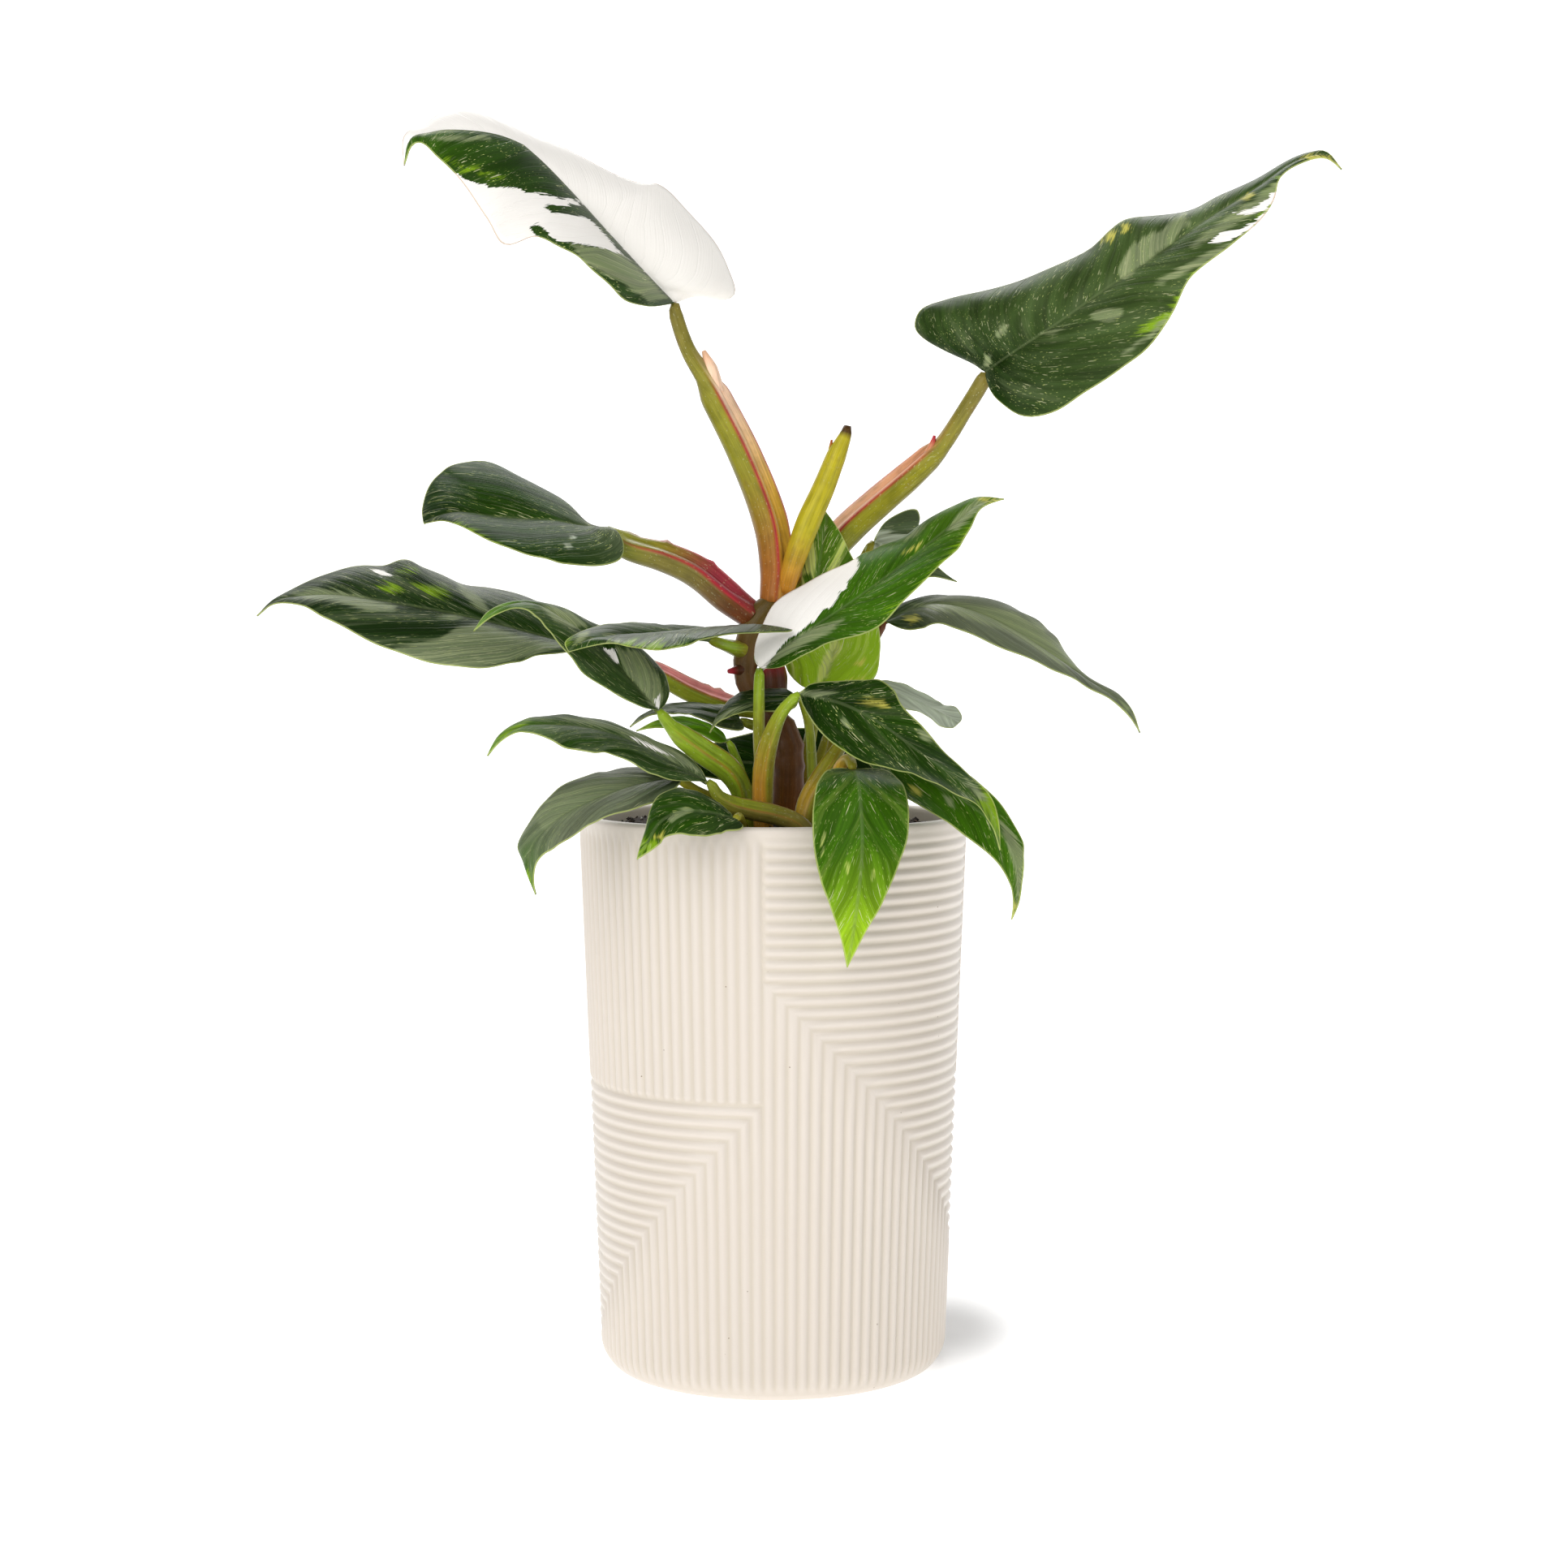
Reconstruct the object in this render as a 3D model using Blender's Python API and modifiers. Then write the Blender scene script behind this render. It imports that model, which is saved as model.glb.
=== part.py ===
"""Potted white princess philodendron: a ribbed ceramic pot, its soil, and the plant that grows in it.

Metres, +Z up. The origin is the centre of the pot's underside, and the viewer stands at -Y.
The plant's routes are laid out on a board: an upright plane through the pot's axis, seen from EYE.
A point (across, up, depth) lies on the line of sight through that spot of the board, depth mm behind it.
"""
import bpy
import bmesh
import math
import numpy as np
from mathutils import Vector
from mathutils.geometry import delaunay_2d_cdt

MM = 0.001

# Pot
POT_HEIGHT = 168.0
RIM_RADIUS = 59.0
BASE_RADIUS = 52.5
WALL = 4.2
FLOOR = 5.0
BASE_ROUND = 5.5
LIP_BAND = 1.4
RIBS_AROUND = 100
RIB_PITCH = 3.5
RIB_DEPTH = 0.8
PANEL_EDGE_DEG = -92.9
LEFT_STEP = 25.05
RIGHT_STEP = 35.3
RELIEF_TOP = 47.3
RELIEF_FOOT = 2.4
FINE_RIBS = 10.0 / 3.0
LIP_SIDES = 72

# Soil and fits
SOIL_TOP = 164.9
GAP = 0.35

# The board and the eye
EYE = np.array((3.3, -848.0, 227.5))
EYE_PITCH = math.radians(3.41)
BOARD_AWAY = 848.0

# Foliage
BLADE = 0.8
ROWS = 13
ACROSS = (0.0, 0.55, 1.0)
STALK_SIDES = 7
STALK_STEP = 12.0

COLLECTION = "potted_white_princess_philodendron"

# Each leaf: rib, left and right edge from the base to the tip (across, up, depth), then its stalk
# from the base to the root, the stalk's radii, how far its sheath is open, and how wavy the edge is.
LEAVES = {
    "leaf_top_left": dict(
        rows=16,
        rib=[(-33, 146, -8), (-43.5, 157, -20), (-55.5, 170, -32), (-65.5, 181, -42), (-75.5, 191, -50),
             (-85, 198, -57), (-95, 200, -63), (-105, 199.5, -68), (-112.5, 197, -71), (-115.5, 187.5, -71)],
        left=[(-33, 146, -8), (-41, 145, -24), (-47, 147, -34), (-53, 152, -42), (-60.5, 158, -50),
              (-68, 162.5, -56), (-76, 166, -62), (-84.5, 164, -66), (-90, 172.5, -70), (-97.5, 182.5, -73),
              (-105, 190, -74), (-111.5, 194.5, -73), (-115.5, 187.5, -71)],
        right=[(-33, 146, -8), (-27, 148, 2), (-16, 148, 8), (-16.5, 156, 6), (-21, 165, 1), (-31, 176.5, -8),
               (-38, 182, -15), (-44, 182.5, -20), (-55.5, 186.5, -28), (-68, 193.5, -36), (-80, 199, -44),
               (-88, 203.5, -50), (-95, 206, -55), (-104, 204, -61), (-109.5, 200, -66),
               (-115.3, 196.8, -70), (-115.5, 187.5, -71)],
        stalk=[(-33, 146, -8), (-33, 143, -8), (-29.2, 132, -7), (-24, 123.5, -6), (-21, 118, -5),
               (-12, 100, -2), (-4.4, 80, 1), (-2.4, 66, 1), (-3, 55, 0.4)],
        radii=(1.2, 2.1, 2.3, 2.9, 4.6, 5.0, 5.3, 5.0, 4.4), sheath=(0, 0, 0, 0.2, 0.8, 0.9, 0.9, 0.6, 0.2),
        tips=[([(-21, 119, -5), (-22.3, 126, -6), (-24.4, 131.6, -6.5)], (3.0, 2.2, 0.6))],
        wave=0.8, cut=("main_stem", "new_shoot"), face=(1.0, -0.7, 0.4)),
    "leaf_top_right": dict(
        rows=18,
        rib=[(61, 125, -12), (71, 132, -16), (82.5, 139.5, -20), (94.5, 148, -25), (112, 160, -32),
             (129, 172, -39), (144, 182, -45), (155.5, 189, -49), (163.5, 191, -52), (169.6, 186.6, -54)],
        left=[(61, 125, -12), (57.5, 127.5, -8), (48, 132, -3), (41.5, 136, 0), (39.5, 139.5, 2),
              (41.5, 144.5, 2), (48, 147, 1), (62.5, 150, -2), (77.5, 154.5, -6), (92, 161.5, -12),
              (99.5, 168.5, -16), (104, 171.5, -19), (112, 173, -22), (124, 175, -28), (132, 179, -32),
              (144, 184, -39), (154, 189.5, -45), (159, 191.5, -48), (164.5, 192, -51), (169.6, 186.6, -54)],
        right=[(61, 125, -12), (62.5, 120, -18), (65.5, 116, -22), (73, 111.5, -28), (82.5, 113, -32),
               (91.5, 119.5, -36), (101.5, 126, -39), (109.5, 132, -42), (117, 140.5, -44), (123, 152, -46),
               (129, 158, -48), (136.5, 164.5, -50), (144, 171, -52), (148.5, 178, -53), (150.5, 184, -52),
               (156, 188, -52), (164, 190, -53), (169.6, 186.6, -54)],
        stalk=[(61, 125, -12), (61, 123.5, -12), (54.5, 112.8, -8), (48.2, 103.2, -4), (44.1, 99.2, -2), (36.8, 92.6, 2),
               (28.2, 85.3, 8), (18.8, 76.7, 14), (9, 65.5, 13.5), (2.5, 57, 8), (-1, 53, 3)],
        radii=(1.2, 2.4, 2.4, 2.7, 3.9, 4.5, 4.8, 5.1, 4.8, 4.0, 3.0),
        sheath=(0, 0, 0, 0.2, 0.7, 0.8, 0.8, 0.7, 0.5, 0.3, 0),
        tips=[([(43, 98, -3), (45, 103, -4.5), (45.7, 105.8, -5)], (1.8, 1.0, 0.4))],
        wave=0.8, cut=("main_stem", "new_shoot", "leaf_top_left"), face=(-0.8, -0.6, 0.8)),
    "leaf_mid_left": dict(
        rib=[(-54, 77.5, 0), (-62, 78.5, -1), (-70, 80, -2), (-78, 80.5, -3), (-90, 81.2, -5),
             (-100, 80.8, -8), (-109.5, 79, -12)],
        left=[(-54, 77.5, 0), (-50.5, 76.5, -6), (-48.5, 72.5, -10), (-50, 68.3, -13), (-56, 66.5, -16),
              (-65.5, 66.3, -20), (-75.5, 69, -23), (-85, 72.5, -25), (-95, 77, -24), (-102.5, 79.6, -20),
              (-109.5, 79, -12)],
        right=[(-54, 77.5, 0), (-58.5, 77.4, 7), (-63, 78.6, 13), (-66.2, 85, 18), (-72, 89.5, 20), (-78, 92.3, 20),
               (-87.5, 96.8, 17), (-95, 97.6, 13), (-102.5, 95.8, 7), (-107.5, 91, 1), (-109.8, 84, -6),
               (-109.5, 79, -12)],
        stalk=[(-54, 77.5, 0), (-51, 74.5, 1), (-47.5, 72, 1), (-36, 68.7, 1), (-26.4, 64.2, 1), (-17.3, 56.8, 0),
               (-9.5, 51, 0)],
        radii=(1.2, 3.3, 3.9, 4.6, 4.9, 4.9, 4.3), sheath=(0, 0.3, 0.5, 0.8, 0.9, 0.8, 0.3),
        wave=0.5, cut=("main_stem", "leaf_top_left"), face=(0.4, -0.7, 1.0)),
    "leaf_far_left": dict(
        rib=[(-60, 41, -8), (-75.5, 45.5, -12), (-92.5, 50, -16), (-110, 53.5, -21), (-129.5, 56.5, -26),
             (-144.5, 57, -30), (-154, 55.8, -33), (-160.3, 51, -34)],
        left=[(-60, 41, -8), (-65.5, 40, -16), (-75.5, 39.2, -22), (-84, 36.5, -27), (-95, 34.7, -31),
              (-107.5, 36.5, -33), (-120, 41, -35), (-129.5, 46, -36), (-139.5, 51, -36), (-147, 54, -36),
              (-154.5, 54.5, -35), (-160.3, 51, -34)],
        right=[(-60, 41, -8), (-57, 45, 2), (-65.5, 50, 4), (-78, 57.5, 2), (-90, 60.2, 0), (-100, 61.8, -3),
               (-110, 65.5, -7), (-116, 67.5, -10), (-122, 66.3, -13), (-131, 66.5, -17), (-139.5, 64, -21),
               (-148, 60, -26), (-155, 56, -31), (-160.3, 51, -34)],
        stalk=[(-60, 41, -8), (-58, 40.5, -8), (-50, 38, -5), (-38, 33.5, -1), (-28.5, 28.5, 1), (-18.5, 24.5, 2),
               (-9.5, 22.5, 2), (-5.5, 21.6, 1)],
        radii=(1.1, 1.9, 2.2, 3.3, 3.6, 3.4, 2.6, 2.4), sheath=(0, 0, 0.3, 0.8, 0.9, 0.7, 0.2, 0),
        wave=0.9, cut=("main_stem",), face=(0.2, -0.6, 1.0)),
    "leaf_folded_left": dict(
        rib=[(-38, 22.4, -34), (-44.5, 29.5, -35), (-52, 38, -36), (-59.5, 45, -38), (-68, 50.5, -41),
             (-75, 54.4, -44), (-82.8, 54.6, -47), (-90, 51.3, -50), (-94.5, 46.3, -52)],
        left=[(-38, 22.4, -34), (-43.5, 23.4, -40), (-52, 28.2, -43), (-60.5, 33.5, -45), (-65.5, 39, -47),
              (-70.5, 44.6, -49), (-74.5, 50.5, -50), (-77.5, 53, -50), (-83, 53.2, -51), (-89.5, 50, -52),
              (-94.5, 46.3, -52)],
        right=[(-38, 22.4, -34), (-36, 24.5, -30), (-35, 29, -27), (-37.2, 35.5, -26), (-43.5, 41.5, -26),
               (-49, 45.2, -28), (-58, 48.6, -31), (-68, 53.6, -36), (-75.5, 55.8, -41), (-83, 55.6, -46),
               (-90, 52.2, -49), (-94.5, 46.3, -52)],
        stalk=[(-38, 22.4, -34), (-37, 21, -34), (-34.5, 17.8, -33), (-31, 14.5, -32), (-25, 10, -29),
               (-17, 4.2, -25), (-13, -2, -22), (-12, -9, -20), (-12, -17, -19), (-12, -26, -19)],
        radii=(0.9, 1.6, 2.0, 3.2, 3.7, 3.7, 3.2, 3.0, 2.8, 2.6), sheath=(0, 0, 0.2, 0.7, 0.8, 0.8, 0.5, 0, 0, 0),
        wave=0.5, cut=(), face=(0.5, -1.0, 0.9)),
    "leaf_edge_on": dict(
        rib=[(-23, 44.4, -20), (-36, 45.2, -30), (-46, 45.2, -40), (-56, 45, -49), (-62, 43.2, -53),
             (-65.5, 40, -55)],
        left=[(-23, 44.4, -20), (-13, 45.6, -21), (-2, 46.2, -23), (2.5, 47.2, -26), (0, 46.4, -30),
              (-10, 45.8, -36), (-24, 43.7, -45), (-31, 42, -50), (-38, 41, -55), (-46, 41.4, -58),
              (-52, 42.6, -58), (-59, 41.6, -57), (-65.5, 40, -55)],
        right=[(-23, 44.4, -20), (-22.5, 46.4, -16), (-26, 47.8, -13.5), (-33, 48.6, -16),
               (-41, 48.7, -25), (-49, 48.6, -35), (-56.5, 48.2, -44), (-62.5, 46, -50), (-66.5, 43, -54),
               (-65.5, 40, -55)],
        stalk=[(-23, 44.4, -20), (-21.5, 43.6, -18), (-18, 42.4, -12), (-14.5, 41.3, -5), (-12.5, 40.8, -1)],
        radii=(0.8, 1.6, 2.0, 2.6, 2.8), sheath=(0, 0.2, 0.5, 0.6, 0.2), wave=0.4, cut=("main_stem",),
        face=(0.2, -0.4, 1.0)),
    "leaf_low_left": dict(
        rib=[(-23, 0.8, -44), (-33.5, 6.5, -48), (-46, 13, -53), (-58, 16.8, -57), (-70.5, 18, -61),
             (-80.5, 16.8, -64), (-86.5, 13.3, -65), (-90.3, 8.5, -66)],
        left=[(-23, 0.8, -44), (-32.3, 1, -54), (-41, 4, -59), (-51, 8.2, -63), (-58, 9.4, -66),
              (-64.3, 10.8, -68), (-70.5, 13.6, -69), (-78, 15.8, -69), (-84.5, 13.8, -68), (-90.3, 8.5, -66)],
        right=[(-23, 0.8, -44), (-28.5, 7.6, -41), (-38.4, 13.6, -43), (-51, 18, -48), (-63, 20, -53),
               (-73, 20.8, -57), (-80.5, 19.4, -61), (-86.5, 15, -64), (-90.3, 8.5, -66)],
        stalk=[(-23, 0.8, -44), (-22, -0.2, -43.5), (-20, -3.6, -42), (-16, -6.4, -40), (-10, -8, -38), (-3, -9.4, -37),
               (4, -12, -36), (8.5, -17.5, -35), (9, -26, -34)],
        radii=(0.9, 1.5, 1.9, 2.7, 2.9, 2.9, 2.8, 2.6, 2.4), sheath=(0, 0, 0.3, 0.7, 0.8, 0.6, 0.3, 0, 0),
        wave=0.7, cut=(), face=(0.2, -0.8, 1.0)),
    "leaf_droop_left": dict(
        rib=[(-33, 2.2, -46), (-46, -0.5, -51), (-60.5, -6, -56), (-70.5, -12, -60), (-76.5, -20, -62),
             (-75.5, -33.8, -62)],
        left=[(-33, 2.2, -46), (-31.5, 0.2, -50), (-37, -4, -56), (-46, -7.6, -61), (-55.7, -11.3, -64),
              (-65.5, -16.5, -66), (-72.5, -21, -66), (-75.5, -25.5, -64), (-75.5, -33.8, -62)],
        right=[(-33, 2.2, -46), (-36.5, 5, -42), (-41, 5.2, -42), (-48.3, 5.2, -43), (-58, 3.2, -47),
               (-68, -1.5, -51), (-75.5, -9, -55), (-81, -18, -58), (-79, -24.5, -60), (-75.5, -33.8, -62)],
        stalk=[(-33, 2.2, -46), (-32, 1.6, -45), (-27, -1.8, -41), (-21, -5, -36), (-15, -10, -32), (-11, -17, -30),
               (-10, -26, -29)],
        radii=(0.8, 1.3, 1.5, 1.7, 1.8, 1.8, 1.8), sheath=(0, 0, 0, 0, 0, 0, 0), wave=0.6, cut=(),
        face=(0.2, -0.8, 1.0)),
    "leaf_over_rim": dict(
        rows=11,
        rib=[(-15, -10.4, -61), (-23.5, -8.6, -64), (-31, -8.4, -67), (-37, -11.3, -70), (-41.4, -17, -72),
             (-44.8, -22.9, -73)],
        left=[(-15, -10.4, -61), (-12.5, -13.4, -64), (-17.5, -14.2, -67), (-21.2, -15.5, -69), (-26, -16.3, -71),
              (-32.3, -15.2, -72), (-36, -15.9, -73), (-38.2, -18.8, -74), (-42, -21.4, -74), (-44.8, -22.9, -73)],
        right=[(-15, -10.4, -61), (-17.5, -8, -58), (-23.5, -3, -58), (-31.5, -1.2, -59), (-38.8, -4.7, -63),
               (-41.6, -10.8, -67), (-43.4, -17.6, -71), (-44.8, -22.9, -73)],
        stalk=[(-15, -10.4, -61), (-14.5, -10.2, -60), (-13.5, -10, -53), (-12.8, -12.4, -47), (-12.5, -17.5, -43),
               (-12.5, -26, -41)],
        radii=(0.7, 1.1, 1.2, 1.3, 1.3, 1.3), sheath=(0, 0, 0, 0, 0, 0), wave=0.6, cut=(), face=(0.2, -0.8, 1.0)),
    "leaf_half_white": dict(
        rib=[(-7.5, 35, -22), (0, 41.5, -24), (8.5, 47.2, -25), (23, 57, -24), (38, 68, -21), (50.5, 78, -17),
             (59, 85, -14), (67, 86.7, -12)],
        left=[(-7.5, 35, -22), (-9, 38.5, -19), (-7, 48.3, -13), (-2.7, 55.5, -12), (6, 61, -12),
              (16, 65.2, -11), (22.5, 68.3, -10), (27.5, 71.5, -9), (35.5, 75.4, -8), (43, 80.2, -8),
              (52.7, 85, -9), (59.5, 87, -11), (67, 86.7, -12)],
        right=[(-7.5, 35, -22), (0, 35.6, -29), (8.5, 40.2, -33), (16, 44.2, -34), (23.2, 45.4, -34),
               (30.5, 49, -33), (36.8, 55.2, -32), (45.3, 63.8, -29), (52.2, 71, -25), (56.5, 77.9, -21),
               (60, 83.6, -16), (67, 86.7, -12)],
        stalk=[(-7.5, 35, -22), (-7.5, 34, -22.3), (-7.6, 27, -24), (-7.6, 14, -23), (-6.8, 0, -18.5), (-5.5, -17, -15.5),
               (-5.5, -26, -15.5)],
        radii=(0.9, 1.5, 1.7, 1.8, 1.9, 1.9, 1.9), sheath=(0, 0, 0, 0, 0, 0, 0), wave=0.7, cut=(),
        face=(-0.5, -0.8, 0.6)),
    "leaf_long_right": dict(
        rib=[(30.5, 49.5, 18), (37, 52.4, 19), (45.3, 54.8, 21), (57.7, 52.6, 23), (70, 46.8, 24),
             (82.3, 38.4, 25), (90, 32.6, 26), (99.8, 26.5, 26), (105, 21.2, 26), (108.3, 15.4, 26)],
        left=[(30.5, 49.5, 18), (34.5, 54.2, 23), (44.8, 57.6, 28), (54.3, 57.4, 31), (62.7, 56.1, 33),
              (68.2, 54.5, 34), (73.5, 51.2, 34), (79, 47.2, 34), (84.4, 42.2, 33), (89.6, 35.6, 31),
              (94.1, 31.5, 30), (101.4, 27.2, 28), (105.6, 22.4, 27), (108.3, 15.4, 26)],
        right=[(30.5, 49.5, 18), (35.5, 47, 14), (40.5, 46.6, 12), (44, 48.6, 11), (48, 49.2, 11),
               (52.5, 47.8, 11), (62.8, 42.4, 13), (78.6, 35.5, 16), (89.2, 31.4, 20), (99, 26, 23),
               (104.4, 20.9, 25), (108.3, 15.4, 26)],
        stalk=[(30.5, 49.5, 18), (29.5, 48, 18), (24, 38, 18), (18, 24, 18), (14, 4, 17), (12.5, -17, 16),
               (12.5, -26, 16)],
        radii=(0.9, 1.6, 1.8, 2.1, 2.2, 2.2, 2.2), sheath=(0, 0, 0, 0.3, 0, 0, 0), wave=0.8, cut=(),
        face=(-0.3, -0.8, 0.9)),
    "leaf_upright": dict(
        rib=[(10.8, 28.6, 9), (14.5, 38.4, 8), (13.3, 51, 6.5), (10, 63, 4.5), (10, 74, 4), (12.8, 82.7, 4.5)],
        left=[(10.8, 28.6, 9), (5, 30, 8), (0.5, 36, 7), (2, 43, 6), (5, 53, 5), (5.5, 64.3, 3.5),
              (7.9, 75, 3.5), (10.3, 80, 4), (12.8, 82.7, 4.5)],
        right=[(10.8, 28.6, 9), (20.5, 28.6, 10), (27.5, 32.3, 11), (29.3, 41, 11), (28.6, 48.5, 9),
               (25.6, 60.5, 6), (20.7, 69, 5), (17, 76.5, 4.5), (12.8, 82.7, 4.5)],
        stalk=[(10.8, 28.6, 9), (10.5, 27, 9), (8, 14, 9), (6, 0, 9), (5.5, -17, 9), (5.5, -26, 9)],
        radii=(0.9, 1.6, 1.9, 2.1, 2.1, 2.1), sheath=(0, 0, 0.3, 0.3, 0, 0), wave=0.5, cut=(),
        face=(0.0, -1.0, 0.3)),
    "leaf_front_right": dict(
        rib=[(4.7, 27.4, -34), (11, 26.2, -37), (18.3, 24.2, -41), (29.3, 18.3, -50), (41.6, 9.4, -60),
             (52.7, 1.5, -68), (60.6, -4.7, -74), (64.2, -11.5, -78), (65.8, -20.3, -80)],
        left=[(4.7, 27.4, -34), (5.8, 23.7, -38), (9.6, 17.5, -44), (15.8, 11.8, -50), (24.4, 7, -57),
              (33, 4.4, -63), (43, 1, -69), (52.7, -2.7, -75), (59, -6.2, -79), (63, -12.5, -81),
              (65.8, -20.3, -80)],
        right=[(4.7, 27.4, -34), (8.4, 30.4, -31), (18.2, 31.4, -33), (28, 32.2, -37), (33, 29, -41),
               (35.9, 23.5, -46), (42.1, 17, -52), (49.4, 9.6, -59), (58.2, 1.6, -68), (63.2, -4.7, -73),
               (65, -11, -77), (65.8, -20.3, -80)],
        stalk=[(4.7, 27.4, -34), (3.5, 26.4, -33.8), (-0.8, 21.5, -32.5), (-4.3, 13, -31), (-6, 5, -29),
               (-6.4, -4, -27), (-6, -17, -26), (-6, -26, -26)],
        radii=(0.9, 1.6, 1.9, 2.6, 3.0, 3.0, 2.8, 2.6), sheath=(0, 0, 0.2, 0.7, 0.8, 0.6, 0, 0), wave=0.8, cut=(),
        face=(-0.5, -0.9, 0.5)),
    "leaf_under_right": dict(
        rib=[(19.5, 15, -20), (26, 11, -26), (35.5, 5.2, -35), (50.3, -2.2, -45), (62.5, -10.8, -52),
             (69.5, -19.5, -55), (71.4, -29.3, -56), (70.7, -35.5, -56), (69.2, -41.4, -56)],
        left=[(19.5, 15, -20), (20.5, 10, -27), (25, 6.8, -33), (30.5, 1.8, -39), (38, -4.7, -45),
              (47.8, -10.8, -51), (57.7, -17.7, -55), (65, -23.7, -58), (68.8, -30.6, -58), (69.6, -36, -57),
              (69.2, -41.4, -56)],
        right=[(19.5, 15, -20), (24, 18.5, -19), (33, 16, -23), (45.3, 10, -31), (55.2, 2.7, -39),
               (62, -2.2, -44), (68.8, -9.6, -49), (72.8, -17, -52), (73, -22, -54), (72.2, -30, -55),
               (71.4, -36, -56), (69.2, -41.4, -56)],
        stalk=[(19.5, 15, -20), (18.6, 14, -20), (15, 8, -21), (11, 1.5, -23), (7, -6, -25), (5, -17, -26), (5, -26, -26)],
        radii=(0.9, 1.7, 2.4, 2.8, 2.9, 2.6, 2.4), sheath=(0, 0.2, 0.6, 0.7, 0.4, 0, 0), wave=0.7, cut=(),
        face=(-0.5, -0.9, 0.5)),
    "leaf_front_hanging": dict(
        rib=[(21, 4.5, -46), (22, 3, -57), (23, -2.5, -64), (23.8, -15.8, -69), (23.2, -28, -71),
             (21.3, -43, -70), (19.2, -56, -68)],
        left=[(21, 4.5, -46), (16, 4.6, -46), (11.5, 2.5, -52), (9.3, -2, -60), (8.6, -9, -65),
              (9, -18.5, -68), (10.8, -28, -69), (13.8, -37, -69), (17.2, -47, -69), (19.2, -56, -68)],
        right=[(21, 4.5, -46), (28, 4.6, -46), (34, 2.8, -51), (37.2, -2, -58), (37.8, -9, -62),
               (37.4, -16, -64), (35, -24.5, -66), (30.5, -35.5, -68), (24.5, -45.5, -68), (19.2, -56, -68)],
        stalk=[(21, 4.5, -46), (20.8, 5.4, -44.5), (19.5, 7.6, -38), (16.5, 4, -31), (14.5, -5, -27), (14.5, -17, -26),
               (14.5, -26, -26)],
        radii=(0.8, 1.4, 1.7, 1.9, 1.9, 1.9, 1.9), sheath=(0, 0, 0, 0, 0, 0, 0), wave=0.6, cut=(),
        face=(0.0, -1.0, 0.8)),
    "leaf_behind_low_right": dict(
        rows=9,
        rib=[(23, 28.6, 32), (35.5, 26.8, 37), (45.3, 22.5, 42), (52.7, 18, 45)],
        left=[(23, 28.6, 32), (26, 24, 29), (31, 25, 30), (37, 23, 33), (43, 20.5, 37), (47, 17.8, 40),
              (51, 17, 43), (52.7, 18, 45)],
        right=[(23, 28.6, 32), (26, 31, 36), (33, 30.8, 42), (45.5, 26.6, 48), (48.5, 24, 49), (52.4, 22.8, 49),
               (54, 20, 48), (52.7, 18, 45)],
        stalk=[(23, 28.6, 32), (22, 28, 32), (15, 18, 29), (10, 2, 26), (9, -17, 25), (9, -26, 25)],
        radii=(0.8, 1.4, 1.7, 1.9, 1.9, 1.9), sheath=(0, 0, 0, 0, 0, 0), wave=0.6, cut=(), face=(-0.2, -0.6, 1.0)),
    "leaf_behind_high_right": dict(
        rows=9,
        rib=[(27, 73.5, 30), (36, 70, 34), (44, 65, 36), (49, 63.6, 37), (52.6, 61.2, 38)],
        left=[(27, 73.5, 30), (24.5, 71.5, 28), (26, 67.5, 29), (32, 64, 31), (40.5, 62.4, 34), (46, 62.8, 36),
              (52.6, 61.2, 38)],
        right=[(27, 73.5, 30), (30.5, 79.2, 32), (35.8, 82.6, 34), (39.9, 83.4, 35), (41.2, 81, 36), (40.7, 75, 38),
               (43.5, 69, 39), (47.5, 65, 38), (52.6, 61.2, 38)],
        stalk=[(27, 73.5, 30), (26.3, 72.5, 29.5), (20, 62, 27), (12, 54, 22), (2, 47, 15), (-7, 43, 4)],
        radii=(0.8, 1.3, 1.5, 1.7, 1.8, 1.9), sheath=(0, 0, 0, 0, 0.2, 0.2), wave=0.4, cut=("main_stem",),
        face=(-0.2, -0.6, 1.0)),
    "leaf_dark_centre": dict(
        rows=8,
        rib=[(4.7, 26, -16), (-5, 25.4, -17), (-13, 23.8, -19.5), (-19, 20.6, -23), (-22.7, 15.6, -26)],
        left=[(4.7, 26, -16), (3, 23, -19), (-6, 21.8, -20), (-14, 21.4, -23), (-19.4, 19, -25.5),
              (-22.7, 15.6, -26)],
        right=[(4.7, 26, -16), (0, 28.8, -11), (-8.5, 28.8, -9.5), (-15, 26.6, -13), (-19.6, 22.2, -20),
               (-22.7, 15.6, -26)],
        stalk=[(4.7, 26, -16), (5.4, 25.4, -15.5), (7.5, 18, -12.5), (8.5, 4, -10), (9, -17, -9), (9, -26, -9)],
        radii=(0.7, 1.2, 1.4, 1.6, 1.6, 1.6), sheath=(0, 0, 0, 0, 0, 0), wave=0.3, cut=(), face=(0.0, -0.6, 1.0)),
    "leaf_dark_left": dict(
        rows=8,
        rib=[(-13, 19.5, -8), (-21, 21.4, -9), (-31, 22.8, -12), (-38, 22.4, -15), (-42.2, 20.8, -17),
             (-47, 17.3, -18)],
        left=[(-13, 19.5, -8), (-12.5, 16.5, -11), (-18.7, 17.2, -14), (-27.4, 20.4, -17), (-34.7, 21.6, -18),
              (-40, 21, -18.5), (-43.5, 19.2, -18.5), (-47, 17.3, -18)],
        right=[(-13, 19.5, -8), (-16.5, 23.4, -5), (-24, 24.6, -4), (-33, 24.4, -6), (-39.5, 22.8, -11),
               (-43.8, 20.6, -15), (-47, 17.3, -18)],
        stalk=[(-13, 19.5, -8), (-12.4, 19, -7.5), (-10.5, 18.2, -5), (-7.5, 17.4, -1), (-3.5, 16.6, 0)],
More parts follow.
